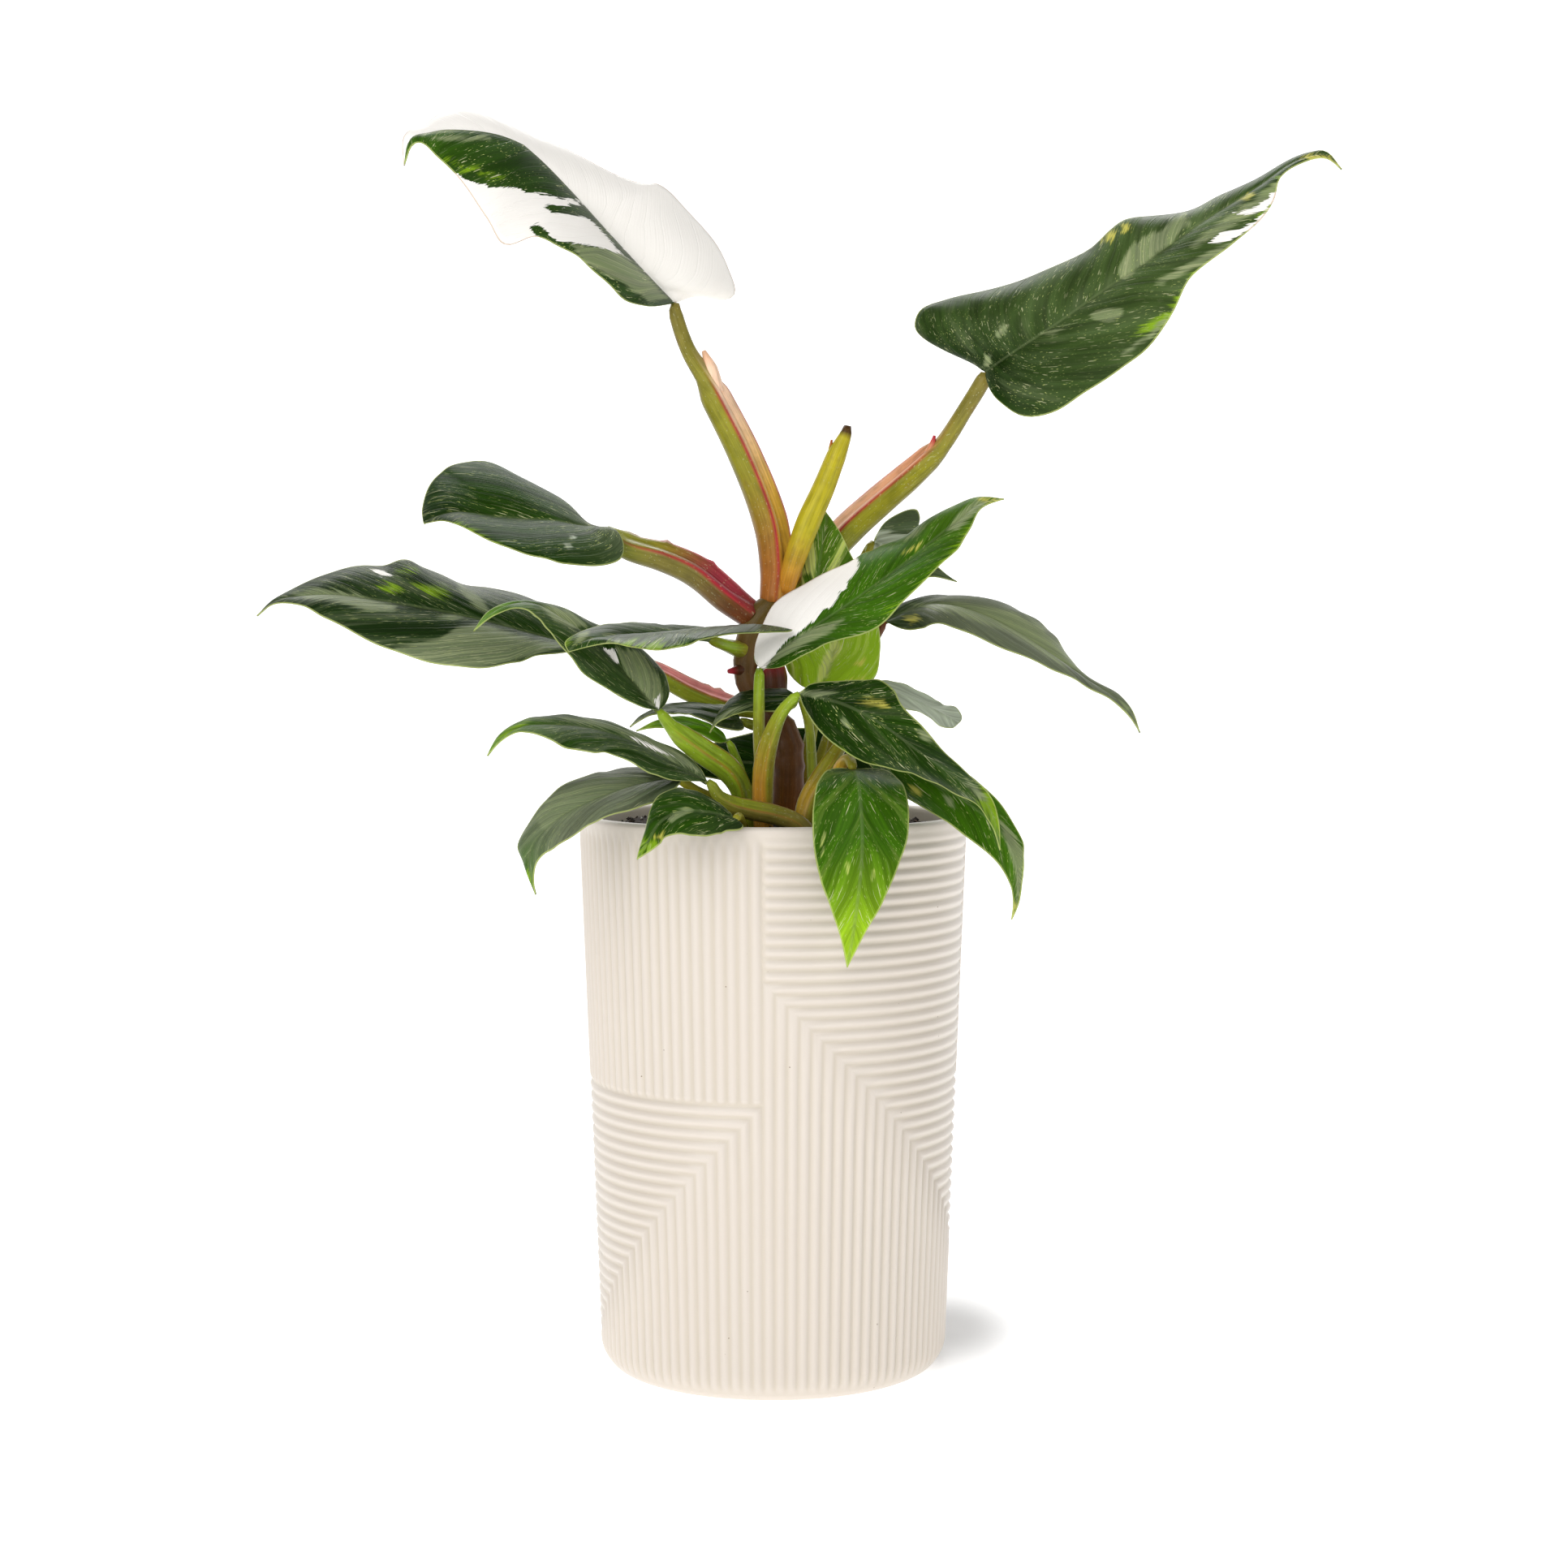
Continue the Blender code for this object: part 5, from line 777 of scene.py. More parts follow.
def add_stalk(shape, route, radii, sheath, face, colours, seed, finish, scars=0.0, dry=0.0, teeth=0.0,
              sides=STALK_SIDES):
    """A stalk as a loft: round where the sheath is shut, grooved and winged where it is open."""
    control = np.array([seen(*p) for p in route])
    at, length = shares_along(control)
    count = max(6, int(math.ceil(length / STALK_STEP)))
    stations = np.linspace(0, 1, count + 1)
    line = smooth_route(control, stations)
    radius = np.interp(stations, at, radii)
    opening = np.interp(stations, at, sheath)
    ahead = units(np.gradient(line, axis=0))
    face = np.array(face, float)
    front = units(face - ahead * (ahead @ face)[:, None])
    side = np.cross(ahead, front)
    angle = 2 * math.pi * np.arange(sides) / sides
    turn = np.degrees(np.abs((angle + math.pi) % (2 * math.pi) - math.pi))
    groove = np.exp(-(turn / GROOVE_SPREAD) ** 2)
    wing = np.exp(-((turn - WING_TURN) / WING_SPREAD) ** 2)
    reach = radius[:, None] * (1 + opening[:, None] * (WING_HEIGHT * wing - GROOVE_SINK * groove))
    knots = 1 + scars * np.sin(stations * length * NODE_PACE + seed) ** 12
    bites = np.array([max(0.0, noise.noise((s * length * BITE_PACE, seed, 0.5)) - LEAST_BITE)
                      for s in stations])
    reach += (teeth * opening * bites)[:, None] * np.exp(-((turn - TEETH_TURN) / TEETH_SPREAD) ** 2)
    reach = reach * knots[:, None] * (1 + UNEVEN * np.sin(3 * angle + seed + 9 * stations[:, None]))
    points = line[:, None] + reach[..., None] * (np.cos(angle)[:, None] * front[:, None]
                                                 + np.sin(angle)[:, None] * side[:, None])
    # The outside runs from first through middle to last along the route; a darker last colour at the soil end
    # is partly the stalk's own browning, partly painted shade.
    first, middle, last, inner_first, inner_last, edge = (linear(c) for c in colours)
    early = smoothstep(0.0, 0.4, stations)[:, None, None]
    late = smoothstep(0.5, 0.95, stations)[:, None, None]
    tint = np.broadcast_to(first + (middle - first) * early + (last - middle) * late, points.shape).copy()
    inner = inner_first + (inner_last - inner_first) * smoothstep(0.25, 0.7, stations)[:, None, None]
    open_here = np.clip(opening[:, None] * 1.4, 0, 1)
    shaded = BACK_SHADE * smoothstep(95, 160, turn) + 0 * open_here
    withered = 0 * open_here
    if dry:
        withered = smoothstep(length - dry, length - 0.5 * dry, stations * length)[:, None]
    stout = np.minimum(1, (radius / STOUT_RADIUS) ** 2)[:, None]
    for weight, colour in ((open_here * smoothstep(INNER_TURN, 34, turn), inner),
                           (open_here * smoothstep(9, 4, np.abs(turn - INNER_TURN)) * stout, edge),
                           (shaded, linear("umber")),
                           (withered + 0 * turn, linear("brown") * 0.5)):
        tint += weight[..., None] * (colour - tint)
    flow = np.empty(points.shape)
    flow[..., 0] = stations[:, None] * length
    flow[..., 1] = turn / DEGREES_IN_RADIAN * radius[:, None]
    flow[..., 2] = seed
    shape.add(points.reshape(-1, 3), tube_faces(count + 1, sides), finish,
              flow=flow.reshape(-1, 3), tint=tint.reshape(-1, 3))


def add_tips(shape, spec, look, seed, finish):
    """Small free tips on a sheath or stem."""
    stalk = look.get("stalk", PLAIN_STALK)
    inner, edge = stalk[3], stalk[5]
    colours = (inner, inner, look.get("tip", edge), inner, inner, edge)
    for route, radii in spec.get("tips", ()):
        add_stalk(shape, route, radii, shut(radii), (0, -1, 0), colours, seed, finish, sides=TIP_SIDES)


def add_blade(shape, leaf, look, seed):
    """A blade lofted between its rib and its two edges: veins sweep forward, and the edge waves."""
    rows = leaf.get("rows", ROWS)
    routes = leaf_routes(leaf)
    control = {key: np.array([seen(*p) for p in routes[key]]) for key in ("rib", "left", "right")}
    fine = np.linspace(FIRST_ROW, rows - ROWS_SHORT, FINE_ROWS + 1)
    at = {key: np.interp(fine, np.arange(rows + 1), row_stations(control[key], rows))
          for key in ("left", "right")}
    even = 0.5 * (at["left"] + at["right"])
    rib = smooth_route(control["rib"], even**RIB_EASE)
    edges = {key: smooth_route(control[key], at[key]) for key in ("left", "right")}
    pull = RIB_PULL * np.clip((even - PULL_FROM) / PULL_SPAN, 0, 1)[:, None]
    rib += pull * (0.5 * (edges["left"] + edges["right"]) - rib)
    rib_length = shares_along(rib)[1]
    ahead = np.gradient(rib, axis=0)
    u = (np.arange(FINE_ACROSS + 1) / FINE_ACROSS) ** EDGE_EASE
    vein_height = np.sin(math.pi * u) ** 0.5 * (1 - 0.4 * u)
    fade = np.minimum(1.0, np.minimum(WAVE_IN * even, WAVE_OUT * (1 - even)))
    sweep = look.get("sweep", VEIN_SWEEP)
    turned = look.get("turned", False)
    sides = []
    for sign, key in ((-1, "right" if turned else "left"), (1, "left" if turned else "right")):
        reach = edges[key] - rib
        length = np.linalg.norm(reach, axis=1)
        normal = units(np.cross(reach, ahead)) * sign
        lift = (-CUP if turned else CUP) * length[:, None] * u * (1 - u)
        phase = 0.4 if sign > 0 else 1.7
        ripple = leaf["wave"] * np.outer(np.sin(RIPPLES * math.pi * even + phase) * fade, u * u)
        frills = np.sin(FRILLS * math.pi * even + seed + 3 * sign) * fade
        frill = FRILL_SHARE * leaf["wave"] * np.outer(frills, u**4)
        vein = (fine / rows * rib_length)[:, None] - sweep * length[:, None] * u
        swell = -VEIN_SWELL * np.cos(2 * math.pi * vein / VEIN_PITCH) * np.outer(fade, vein_height)
        height = lift + ripple + frill + swell
        points = rib[:, None] + u[:, None] * reach[:, None] + height[..., None] * normal[:, None]
        sides.append((points, length[:, None] * u, length[:, None] * (1 - u)))
    (left, out_l, gap_l), (right, out_r, gap_r) = sides
    grid = np.concatenate((left[:, :0:-1], right), axis=1)
    out = np.concatenate((out_l[:, :0:-1], out_r), axis=1)
    gap = np.concatenate((gap_l[:, :0:-1], gap_r), axis=1)
    share = np.concatenate((u[:0:-1], u))
    normals = units(np.cross(np.gradient(grid, axis=1), np.gradient(grid, axis=0)))
    half = 0.5 * THICKNESS * (1 - EDGE_THINNING * share**2)
    groove = RIB_GROOVE * np.exp(-(out / GROOVE_WIDTH) ** 2) * (1 - GROOVE_FADE * even[:, None])
    keel = (LEAST_KEEL + KEEL * (1 - even[:, None]) ** 1.5) * np.exp(-(out / KEEL_WIDTH) ** 2)
    top = grid + (half - groove)[..., None] * normals
    under = grid - (half + keel)[..., None] * normals
    high, wide = grid.shape[:2]
    block = high * wide
    faces = []
    for i in range(high - 1):
        for j in range(wide - 1):
            a = i * wide + j
            b, c, d = a + 1, a + wide + 1, a + wide
            faces.append((a, b, c, d))
            faces.append((d + block, c + block, b + block, a + block))
        for j in (0, wide - 1):
            a, d = i * wide + j, (i + 1) * wide + j
            rim = (a, d, d + block, a + block)
            faces.append(rim if j == 0 else rim[::-1])
    for i in (0, high - 1):
        for j in range(wide - 1):
            a = i * wide + j
            rim = (a + 1, a, a + block, a + 1 + block)
            faces.append(rim if i == 0 else rim[::-1])

    spots = on_board(grid.reshape(-1, 3))
    kinds = {key: field(spots, look.get(key, ())) for key in ("white", "pale", "gold", "lime")}
    if "green" in look:
        beyond_rib = np.broadcast_to(np.arange(wide) > FINE_ACROSS, (high, wide)).reshape(-1)
        kinds["white"] = np.where(beyond_rib, 20.0, -field(spots, look["green"]))
    base, middle, tip = (linear(c) for c in look["tones"])
    along = (fine / rows)[:, None, None]
    tone = (base + smoothstep(0.0, 0.5, along) * (middle - base)
            + smoothstep(0.62, 1.0, along) * (tip - middle))
    tone = np.broadcast_to(tone, grid.shape).reshape(-1, 3)
    flow = np.empty(grid.shape)
    flow[..., 0] = (fine / rows)[:, None] * rib_length - sweep * out
    flow[..., 1] = out
    flow[..., 2] = seed
    flow = flow.reshape(-1, 3)
    marks = np.stack((kinds["white"], kinds["pale"], kinds["gold"]), axis=1)
    for points, quads, below in ((top, faces, 0.0), (under, [], 1.0)):
        more = np.stack((kinds["lime"], gap.reshape(-1), np.full(block, below)), axis=1)
        shape.add(points.reshape(-1, 3), quads, 0, flow=flow, spots=marks, more_spots=more, tint=tone,
                  habit=look["habit"], paint=linear(look.get("paint", "pale")))


class Graph:
    """A material's node tree, built from plain calls."""

    def __init__(self, name):
        self.material = bpy.data.materials.new(name)
        self.material.use_nodes = True
        self.tree = self.material.node_tree
        self.shader = self.tree.nodes["Principled BSDF"]

    def put(self, value, socket):
        """Link a socket, or set a plain value."""
        if isinstance(value, bpy.types.NodeSocket):
            self.tree.links.new(value, socket)
        else:
            socket.default_value = value

    def node(self, kind, inputs=(), **settings):
        node = self.tree.nodes.new(kind)
        for key, value in settings.items():
            setattr(node, key, value)
        for key, value in dict(inputs).items():
            self.put(value, node.inputs[key])
        return node

    def math(self, operation, a, b=0.0, c=0.0):
        """One simple operation on numbers."""
        return self.node("ShaderNodeMath", {0: a, 1: b, 2: c}, operation=operation).outputs[0]

    def plus(self, a, b):
        return self.math("ADD", a, b)

    def times(self, a, b):
        return self.math("MULTIPLY", a, b)

    def ramp(self, value, low, high, out_low=0.0, out_high=1.0):
        """A soft step from out_low where the value is low to out_high where it is high."""
        inputs = {"Value": value, "From Min": low, "From Max": high, "To Min": out_low, "To Max": out_high}
        return self.node("ShaderNodeMapRange", inputs, interpolation_type="SMOOTHSTEP").outputs[0]

    def mix(self, factor, a, b, blend="MIX"):
        node = self.node("ShaderNodeMix", data_type="RGBA", blend_type=blend)
        for value, socket in ((factor, node.inputs[0]), (a, node.inputs[6]), (b, node.inputs[7])):
            self.put(value, socket)
        return node.outputs[2]

    def vector(self, x, y, z):
        return self.node("ShaderNodeCombineXYZ", {0: x, 1: y, 2: z}).outputs[0]

    def parts(self, name):
        """The three numbers of a value kept on the points."""
        split = self.node("ShaderNodeSeparateXYZ", {0: self.colour(name)})
        return split.outputs[0], split.outputs[1], split.outputs[2]

    def colour(self, name):
        """A value kept on the points, as a colour or vector."""
        return self.node("ShaderNodeAttribute", attribute_name=name).outputs["Vector"]

    def noise(self, vector, scale=1.0, detail=2.0, rough=0.5):
        inputs = {"Vector": vector, "Scale": scale, "Detail": detail, "Roughness": rough}
        return self.node("ShaderNodeTexNoise", inputs).outputs[0]

    def place(self):
        """The point on the object, in mm."""
        source = self.node("ShaderNodeTexCoord").outputs["Object"]
        return self.node("ShaderNodeVectorMath", {0: source, 3: 1000.0}, operation="SCALE").outputs[0]

    def bump(self, height, strength, distance_mm):
        inputs = {"Height": height, "Strength": strength, "Distance": distance_mm * MM}
        self.put(self.node("ShaderNodeBump", inputs).outputs[0], self.shader.inputs["Normal"])

    def finish(self, colour, roughness, **plain):
        """The material with its colour, roughness and plain settings."""
        self.put(colour, self.shader.inputs["Base Color"])
        self.put(roughness, self.shader.inputs["Roughness"])
        for key, value in plain.items():
            self.shader.inputs[key.replace("_", " ")].default_value = value
        return self.material


def rgba(name):
    """A palette colour for a shader's socket."""
    return (*linear(name), 1.0)


def leaf_material(name, gloss):
    """Waxy green with streaks, freckles and patches that run along the veins, and painted grey sheen."""
    g = Graph(name)
    along, out, seed = g.parts("flow")
    white, pale, gold = g.parts("spots")
    lime, gap, below = g.parts("more_spots")
    freckled, mottled, sheen_grey = g.parts("habit")

    def veined(across_veins, with_veins, shift, detail=2.0):
        x = g.times(along, across_veins)
        y = g.times(out, with_veins)
        return g.noise(g.vector(x, y, g.plus(seed, shift)), 1.0, detail)

    streak = veined(0.42, 0.05, 0.0, 3.0)
    stria = veined(1.7, 0.025, 9.0, 2.0)
    fine = veined(1.5, 0.3, 3.0)
    cloud = veined(0.09, 0.05, 6.0)
    patch = veined(0.2, 0.07, 11.0, 4.0)
    dash = veined(1.7, 0.36, 5.0, 1.0)
    fleck = veined(2.3, 1.3, 15.0, 1.0)

    def off(value, amount):
        return g.times(g.math("SUBTRACT", value, 0.5), amount)

    def jagged(value, by_streak, by_fine):
        return g.plus(value, g.plus(off(streak, by_streak), off(fine, by_fine)))

    def over(colour, weight, paint):
        return g.mix(weight, colour, rgba(paint) if isinstance(paint, str) else paint)

    def grown(mark, by_streak, by_fine, low, high):
        return g.ramp(jagged(mark, by_streak, by_fine), low, high)

    uneven = g.plus(g.times(streak, 0.6), g.times(cloud, 0.6))
    shade = g.plus(g.ramp(uneven, 0.35, 0.85, 0.6, 1.5), off(stria, 0.5))
    colour = g.mix(1.0, g.colour("tint"), g.vector(shade, shade, shade), "MULTIPLY")
    # Pale tone: for the leaf's own pale marbling and for painted sheen alike.
    light_pale = g.mix(g.ramp(stria, 0.45, 0.68, 0.0, 0.35), g.colour("paint"), rgba("cream"))
    pale_and_sheen_tone = g.mix(g.ramp(streak, 0.36, 0.6, 0.5, 0.0), light_pale, rgba("sheen_grey"))
    colour = over(colour, g.times(g.ramp(patch, 0.53, 0.64), mottled), pale_and_sheen_tone)
    # Grey clouds: painted sheen.
    colour = over(colour, g.times(g.ramp(cloud, 0.42, 0.62), g.times(sheen_grey, 0.5)), "sheen_grey")
    colour = over(colour, g.times(grown(lime, 7.0, 6.0, -1.0, 1.8), 0.75), "lime")
    colour = over(colour, g.times(grown(pale, 3.0, 2.0, -0.6, 0.8), 0.9), pale_and_sheen_tone)
    colour = over(colour, g.times(grown(gold, 3.0, 4.0, -0.4, 1.2), 0.85), "gold")
    spread = g.times(g.ramp(cloud, 0.34, 0.56), freckled)
    colour = over(colour, g.times(g.ramp(dash, 0.68, 0.72), spread), "cream")
    colour = over(colour, g.times(g.ramp(fleck, 0.67, 0.72), spread), "margin")
    wave = g.math("ABSOLUTE", g.math("SINE", g.times(along, math.pi / VEIN_PITCH)))
    vein = g.ramp(wave, 0.14, 0.0)
    colour = over(colour, g.times(vein, 0.06), "pale")
    blank = grown(white, 1.6, 2.4, -0.14, 0.14)
    colour = over(colour, blank, "milk")
    rib_line = g.ramp(out, 0.8, 0.3, 0.0, 0.22)
    colour = over(colour, g.times(rib_line, g.math("SUBTRACT", 1.0, blank)), "pale")
    colour = over(colour, g.ramp(gap, 0.55, 0.2, 0.0, 0.6), g.mix(blank, rgba("margin"), rgba("tan")))
    # The underside is paler: its own colour, in the same grey as the painted sheen.
    colour = over(colour, g.times(below, 0.3), "sheen_grey")
    rough = g.plus(g.times(streak, 0.16), g.math("MULTIPLY_ADD", below, 0.14, 0.26))
    lines = g.plus(g.times(stria, 0.9), g.times(fine, 0.3))
    g.bump(g.plus(lines, g.times(vein, -0.6)), 0.35, 0.4)
    return g.finish(colour, rough, Specular_IOR_Level=gloss, Specular_Tint=LEAF_SHEEN)


def stalk_material(name, freckle, coat=0.07):
    """Fibrous stalk skin with fine lengthwise streaks and freckles."""
    g = Graph(name)
    along, round_it, seed = g.parts("flow")

    def drawn(lengthwise, around, detail):
        x, y = g.times(along, lengthwise), g.times(round_it, around)
        return g.noise(g.vector(x, y, seed), 1.0, detail)

    fibre = drawn(0.06, 2.2, 3.0)
    blotch = drawn(0.16, 0.3, 3.0)
    dots = drawn(1.0, 1.6, 1.0)
    uneven = g.plus(g.times(fibre, 0.5), g.times(blotch, 0.6))
    shade = g.ramp(uneven, 0.3, 0.8, 0.7, 1.3)
    colour = g.mix(1.0, g.colour("tint"), g.vector(shade, shade, shade), "MULTIPLY")
    colour = g.mix(g.ramp(blotch, 0.55, 0.75, 0.0, 0.35), colour, rgba("brown"))
    colour = g.mix(g.ramp(dots, 0.66, 0.72, 0.0, freckle), colour, rgba("cream"))
    g.bump(fibre, 0.25, 0.3)
    return g.finish(colour, g.math("MULTIPLY_ADD", fibre, 0.2, 0.22), Specular_IOR_Level=0.16,
                    Coat_Weight=coat, Coat_Roughness=0.12)


def glaze_material():
    """Satin cream glaze: pinkish on the ribs, yellower in the grooves, with a few tiny dark specks."""
    g = Graph("pot_glaze")
    ridge, _, _ = g.parts("flow")
    place = g.place()
    cloud = g.noise(place, 0.03, 3.0)
    grain = g.noise(place, 1.4, 2.0)
    cells = g.node("ShaderNodeTexVoronoi", {"Vector": place, "Scale": 0.16}, feature="F1")
    speck = g.ramp(cells.outputs["Distance"], 0.045, 0.02)
    lot = g.node("ShaderNodeSeparateColor", {0: cells.outputs["Color"]}).outputs[0]
    chosen = g.math("GREATER_THAN", lot, 0.72)
    colour = g.mix(g.ramp(ridge, -1.0, -0.15), GLAZE_GROOVE, GLAZE_RIDGE)
    colour = g.mix(g.ramp(cloud, 0.35, 0.65, 0.0, 0.25), colour, GLAZE_CLOUD)
    colour = g.mix(g.times(speck, chosen), colour, GLAZE_SPECK)
    g.bump(g.plus(g.times(grain, 0.5), cloud), 0.12, 0.3)
    return g.finish(colour, g.math("MULTIPLY_ADD", cloud, 0.16, 0.3), Specular_IOR_Level=0.5)


def soil_material():
    """Near-black crumbly compost."""
    g = Graph("soil")
    tone, _, _ = g.parts("flow")
    place = g.place()
    grain = g.noise(place, 0.9, 5.0, 0.7)
    lumps = g.noise(place, 0.25, 3.0)
    colour = g.mix(g.ramp(grain, 0.35, 0.7), SOIL_DARK, SOIL_BROWN)
    colour = g.mix(g.ramp(lumps, 0.5, 0.7, 0.0, 0.5), colour, SOIL_LUMP)
    colour = g.mix(g.ramp(tone, 0.4, 0.6), colour, BARK_CHIP)
    colour = g.mix(g.ramp(tone, 1.4, 1.6), colour, PERLITE)
    g.bump(grain, 0.8, 0.8)
    return g.finish(colour, g.ramp(grain, 0.3, 0.7, 0.75, 0.98), Specular_IOR_Level=0.3)


def round_the_axis(r, z, angle):
    """Points at radius r and height z, at angles round the pot's axis from its front."""
    return np.stack((r * np.sin(angle), -r * np.cos(angle), 0 * angle + z), axis=1)


def wall_radius(z):
    """The pot's outer radius at height z, without its ribs."""
    return BASE_RADIUS + (RIM_RADIUS - BASE_RADIUS) * z / POT_HEIGHT


def foot_bend(z):
    """How far the rounded foot draws the wall in at height z, in mm."""
    below = np.clip(1 - z / BEND_HEIGHT, 0, 1)
    return BASE_ROUND * (1 - np.sqrt(1 - below**2))


def relief(s, v):
    """The ribs' height, -1 in a groove and 0 on a ridge, s ribs along one half and v pitches up."""
    left = s <= PANEL
    step = LEFT_STEP if left else RIGHT_STEP
    inner = abs(s - PANEL)
    outer = s if left else HALF - s
    end = 1.0
    if v <= step:
        q = min(step - v, inner)
        if step - v <= inner:
            end = outer
    elif left:
        q = s
        end = v - step
    else:
        q = v - step
        end = min(inner, outer)
    aside = abs(q % 1.0 - 0.5)
    reach = math.hypot(aside, max(0.0, 0.5 - end))
    rise = math.cos(math.pi * min(reach, 0.5)) ** RIB_SHARPNESS
    full = smoothstep(0.0, RELIEF_FADE, min(RELIEF_TOP - v, (v - RELIEF_FOOT) * FOOT_HASTE))
    return -0.5 + full * (rise - 0.5)


def relief_lines():
    """The lines along which one half of the pot's relief is cut: ribs across and rib pitches up."""
    ends = [0.0, 0.125, 0.25, 0.375, 0.5, 0.7]
    tops = [RELIEF_TOP - d for d in (1.4, 1.0, 0.7, 0.45, 0.2, 0.0)]
    feet = [RELIEF_FOOT + d for d in (0.0, 0.15, 0.35, 0.6, 0.9, 1.3, 1.8)]
    shares = [k / RIB_SHARES for k in range(PANEL * RIB_SHARES + 1)]
    lines = []

    def run(s0, s1, v, first=(), last=()):
        even = np.arange(math.ceil(s0 / RUN_STOP) * RUN_STOP, s1, RUN_STOP)
        inner = [s for s in even if s0 + RUN_CLEAR < s < s1 - RUN_CLEAR]
        stops = [s0 + e for e in first if s0 + e < s1] + inner + [s1 - e for e in last if s1 - e > s0]
        lines.append([(s, v) for s in sorted({round(s, 4) for s in (s0, s1, *stops)})])

    def drop(s, v1, v0, first=(), last=()):
        stops = np.arange(v1 - DROP_STOP, v0 + 2, -DROP_STOP)
        levels = {round(v, 4) for v in (v0, v1, *stops, *(x for x in (*first, *last) if v0 < x < v1))}
        lines.append([(s, v) for v in sorted(levels)])

    for q in shares:
        if 0 < q < PANEL:
            drop(q, RELIEF_TOP, LEFT_STEP, tops, [LEFT_STEP + e for e in ends])
        v = LEFT_STEP - q
        if v > RELIEF_FOOT + 0.05:
            run(0.0, PANEL - q, v, ends)
            if 0 < q < PANEL:
                drop(PANEL - q, v, RELIEF_FOOT, (), feet)
        v = RIGHT_STEP - q
        if PANEL + q < HALF:
            run(PANEL + q, float(HALF), v, (), ends)
            if q:
                drop(PANEL + q, v, RELIEF_FOOT, (), feet)
    v = RIGHT_STEP + 1 / RIB_SHARES
    while v < RELIEF_TOP - 0.1:
        run(float(PANEL), float(HALF), v, ends, ends)
        v += 1 / RIB_SHARES

    def levels_at(*places):
        met = {v for line in lines for s, v in line if s in places}
        return sorted(met | set(tops) | set(feet))

    rows, middle = levels_at(0.0, float(HALF)), levels_at(float(PANEL))
    for s, levels in ((0.0, rows), (float(HALF), rows), (float(PANEL), middle)):
        lines.append([(s, v) for v in levels if RELIEF_FOOT <= v <= RELIEF_TOP])
    coarse = [HALF * i / (LIP_SIDES // 2) for i in range(LIP_SIDES // 2 + 1)]
    for v in (RELIEF_TOP, RELIEF_FOOT):
        lines.append([(s, v) for s in coarse])
    return lines


def pot_piece(material):
    """The ribbed wall from its lines, closed by the lip, the inside and the base."""
    verts, edges, found = [], [], {}
    for line in relief_lines():
        ids = []
        for s, v in line:
            key = (round(s, 3), round(v, 3))
            if key not in found:
                found[key] = len(verts)
                verts.append(Vector(key))
            ids.append(found[key])
        edges += [(a, b) for a, b in zip(ids, ids[1:]) if a != b]
    out, _, triangles, _, _, _ = delaunay_2d_cdt(verts, edges, [], 0, 1e-5)
    shape = Shape()
    heights = np.array([relief(p.x, p.y) for p in out])
    z = np.array([p.y for p in out]) * RIB_PITCH
    for turn in (0.0, math.pi):
        angle = math.radians(PANEL_EDGE_DEG) + np.array([p.x for p in out]) / RIBS_AROUND * 2 * math.pi + turn
        r = wall_radius(z) - foot_bend(z) + RIB_DEPTH * heights
        flow = np.stack((heights, 0 * heights, 0 * heights), axis=1)
        shape.add(round_the_axis(r, z, angle), triangles, 0, flow=flow)
    z_lip, z_foot = RELIEF_TOP * RIB_PITCH, RELIEF_FOOT * RIB_PITCH
    floor_radius = wall_radius(FLOOR) - WALL
    lip = [(wall_radius(z_lip) - 0.5 * RIB_DEPTH, z_lip)]
    lip += [(RIM_RADIUS - inset, POT_HEIGHT - drop) for inset, drop in OUTER_LIP]
    lip += [(RIM_RADIUS - WALL + outset, POT_HEIGHT - drop) for outset, drop in INNER_LIP]
    lip += [(floor_radius, FLOOR + 3.0), (floor_radius - 3.0, FLOOR)]
    foot = [(wall_radius(z) - foot_bend(z) - 0.5 * RIB_DEPTH, z)
            for z in z_foot * np.linspace(1.0, 0.0, FOOT_RINGS) ** 2]
    angle = math.radians(PANEL_EDGE_DEG) + 2 * math.pi * np.arange(LIP_SIDES) / LIP_SIDES
    for profile in (lip, foot):
        rings = [round_the_axis(r, z, angle) for r, z in profile]
        faces = tube_faces(len(profile), LIP_SIDES)
        del faces[-2]
        shape.add(np.vstack(rings), faces, 0, flow=(LIP_TONE, 0.0, 0.0))
    return shape.piece("pot_ribbed", [material], "pot")


def weld_and_turn(obj, sharp_deg=None):
    """Weld the parts of a piece where they meet, and turn its faces out."""
    bm = bmesh.new()
    bm.from_mesh(obj.data)
    bmesh.ops.remove_doubles(bm, verts=bm.verts[:], dist=WELD)
    bmesh.ops.recalc_face_normals(bm, faces=bm.faces[:])
    bm.to_mesh(obj.data)
    bm.free()
    if sharp_deg:
        obj.data.set_sharp_from_angle(angle=math.radians(sharp_deg))


def soil_lump(x, y):
    """How far the soil rises above its mean level at a spot, in mm."""
    return sum(height * noise.noise((x * pace, y * pace, seed)) for height, pace, seed in LUMPS)


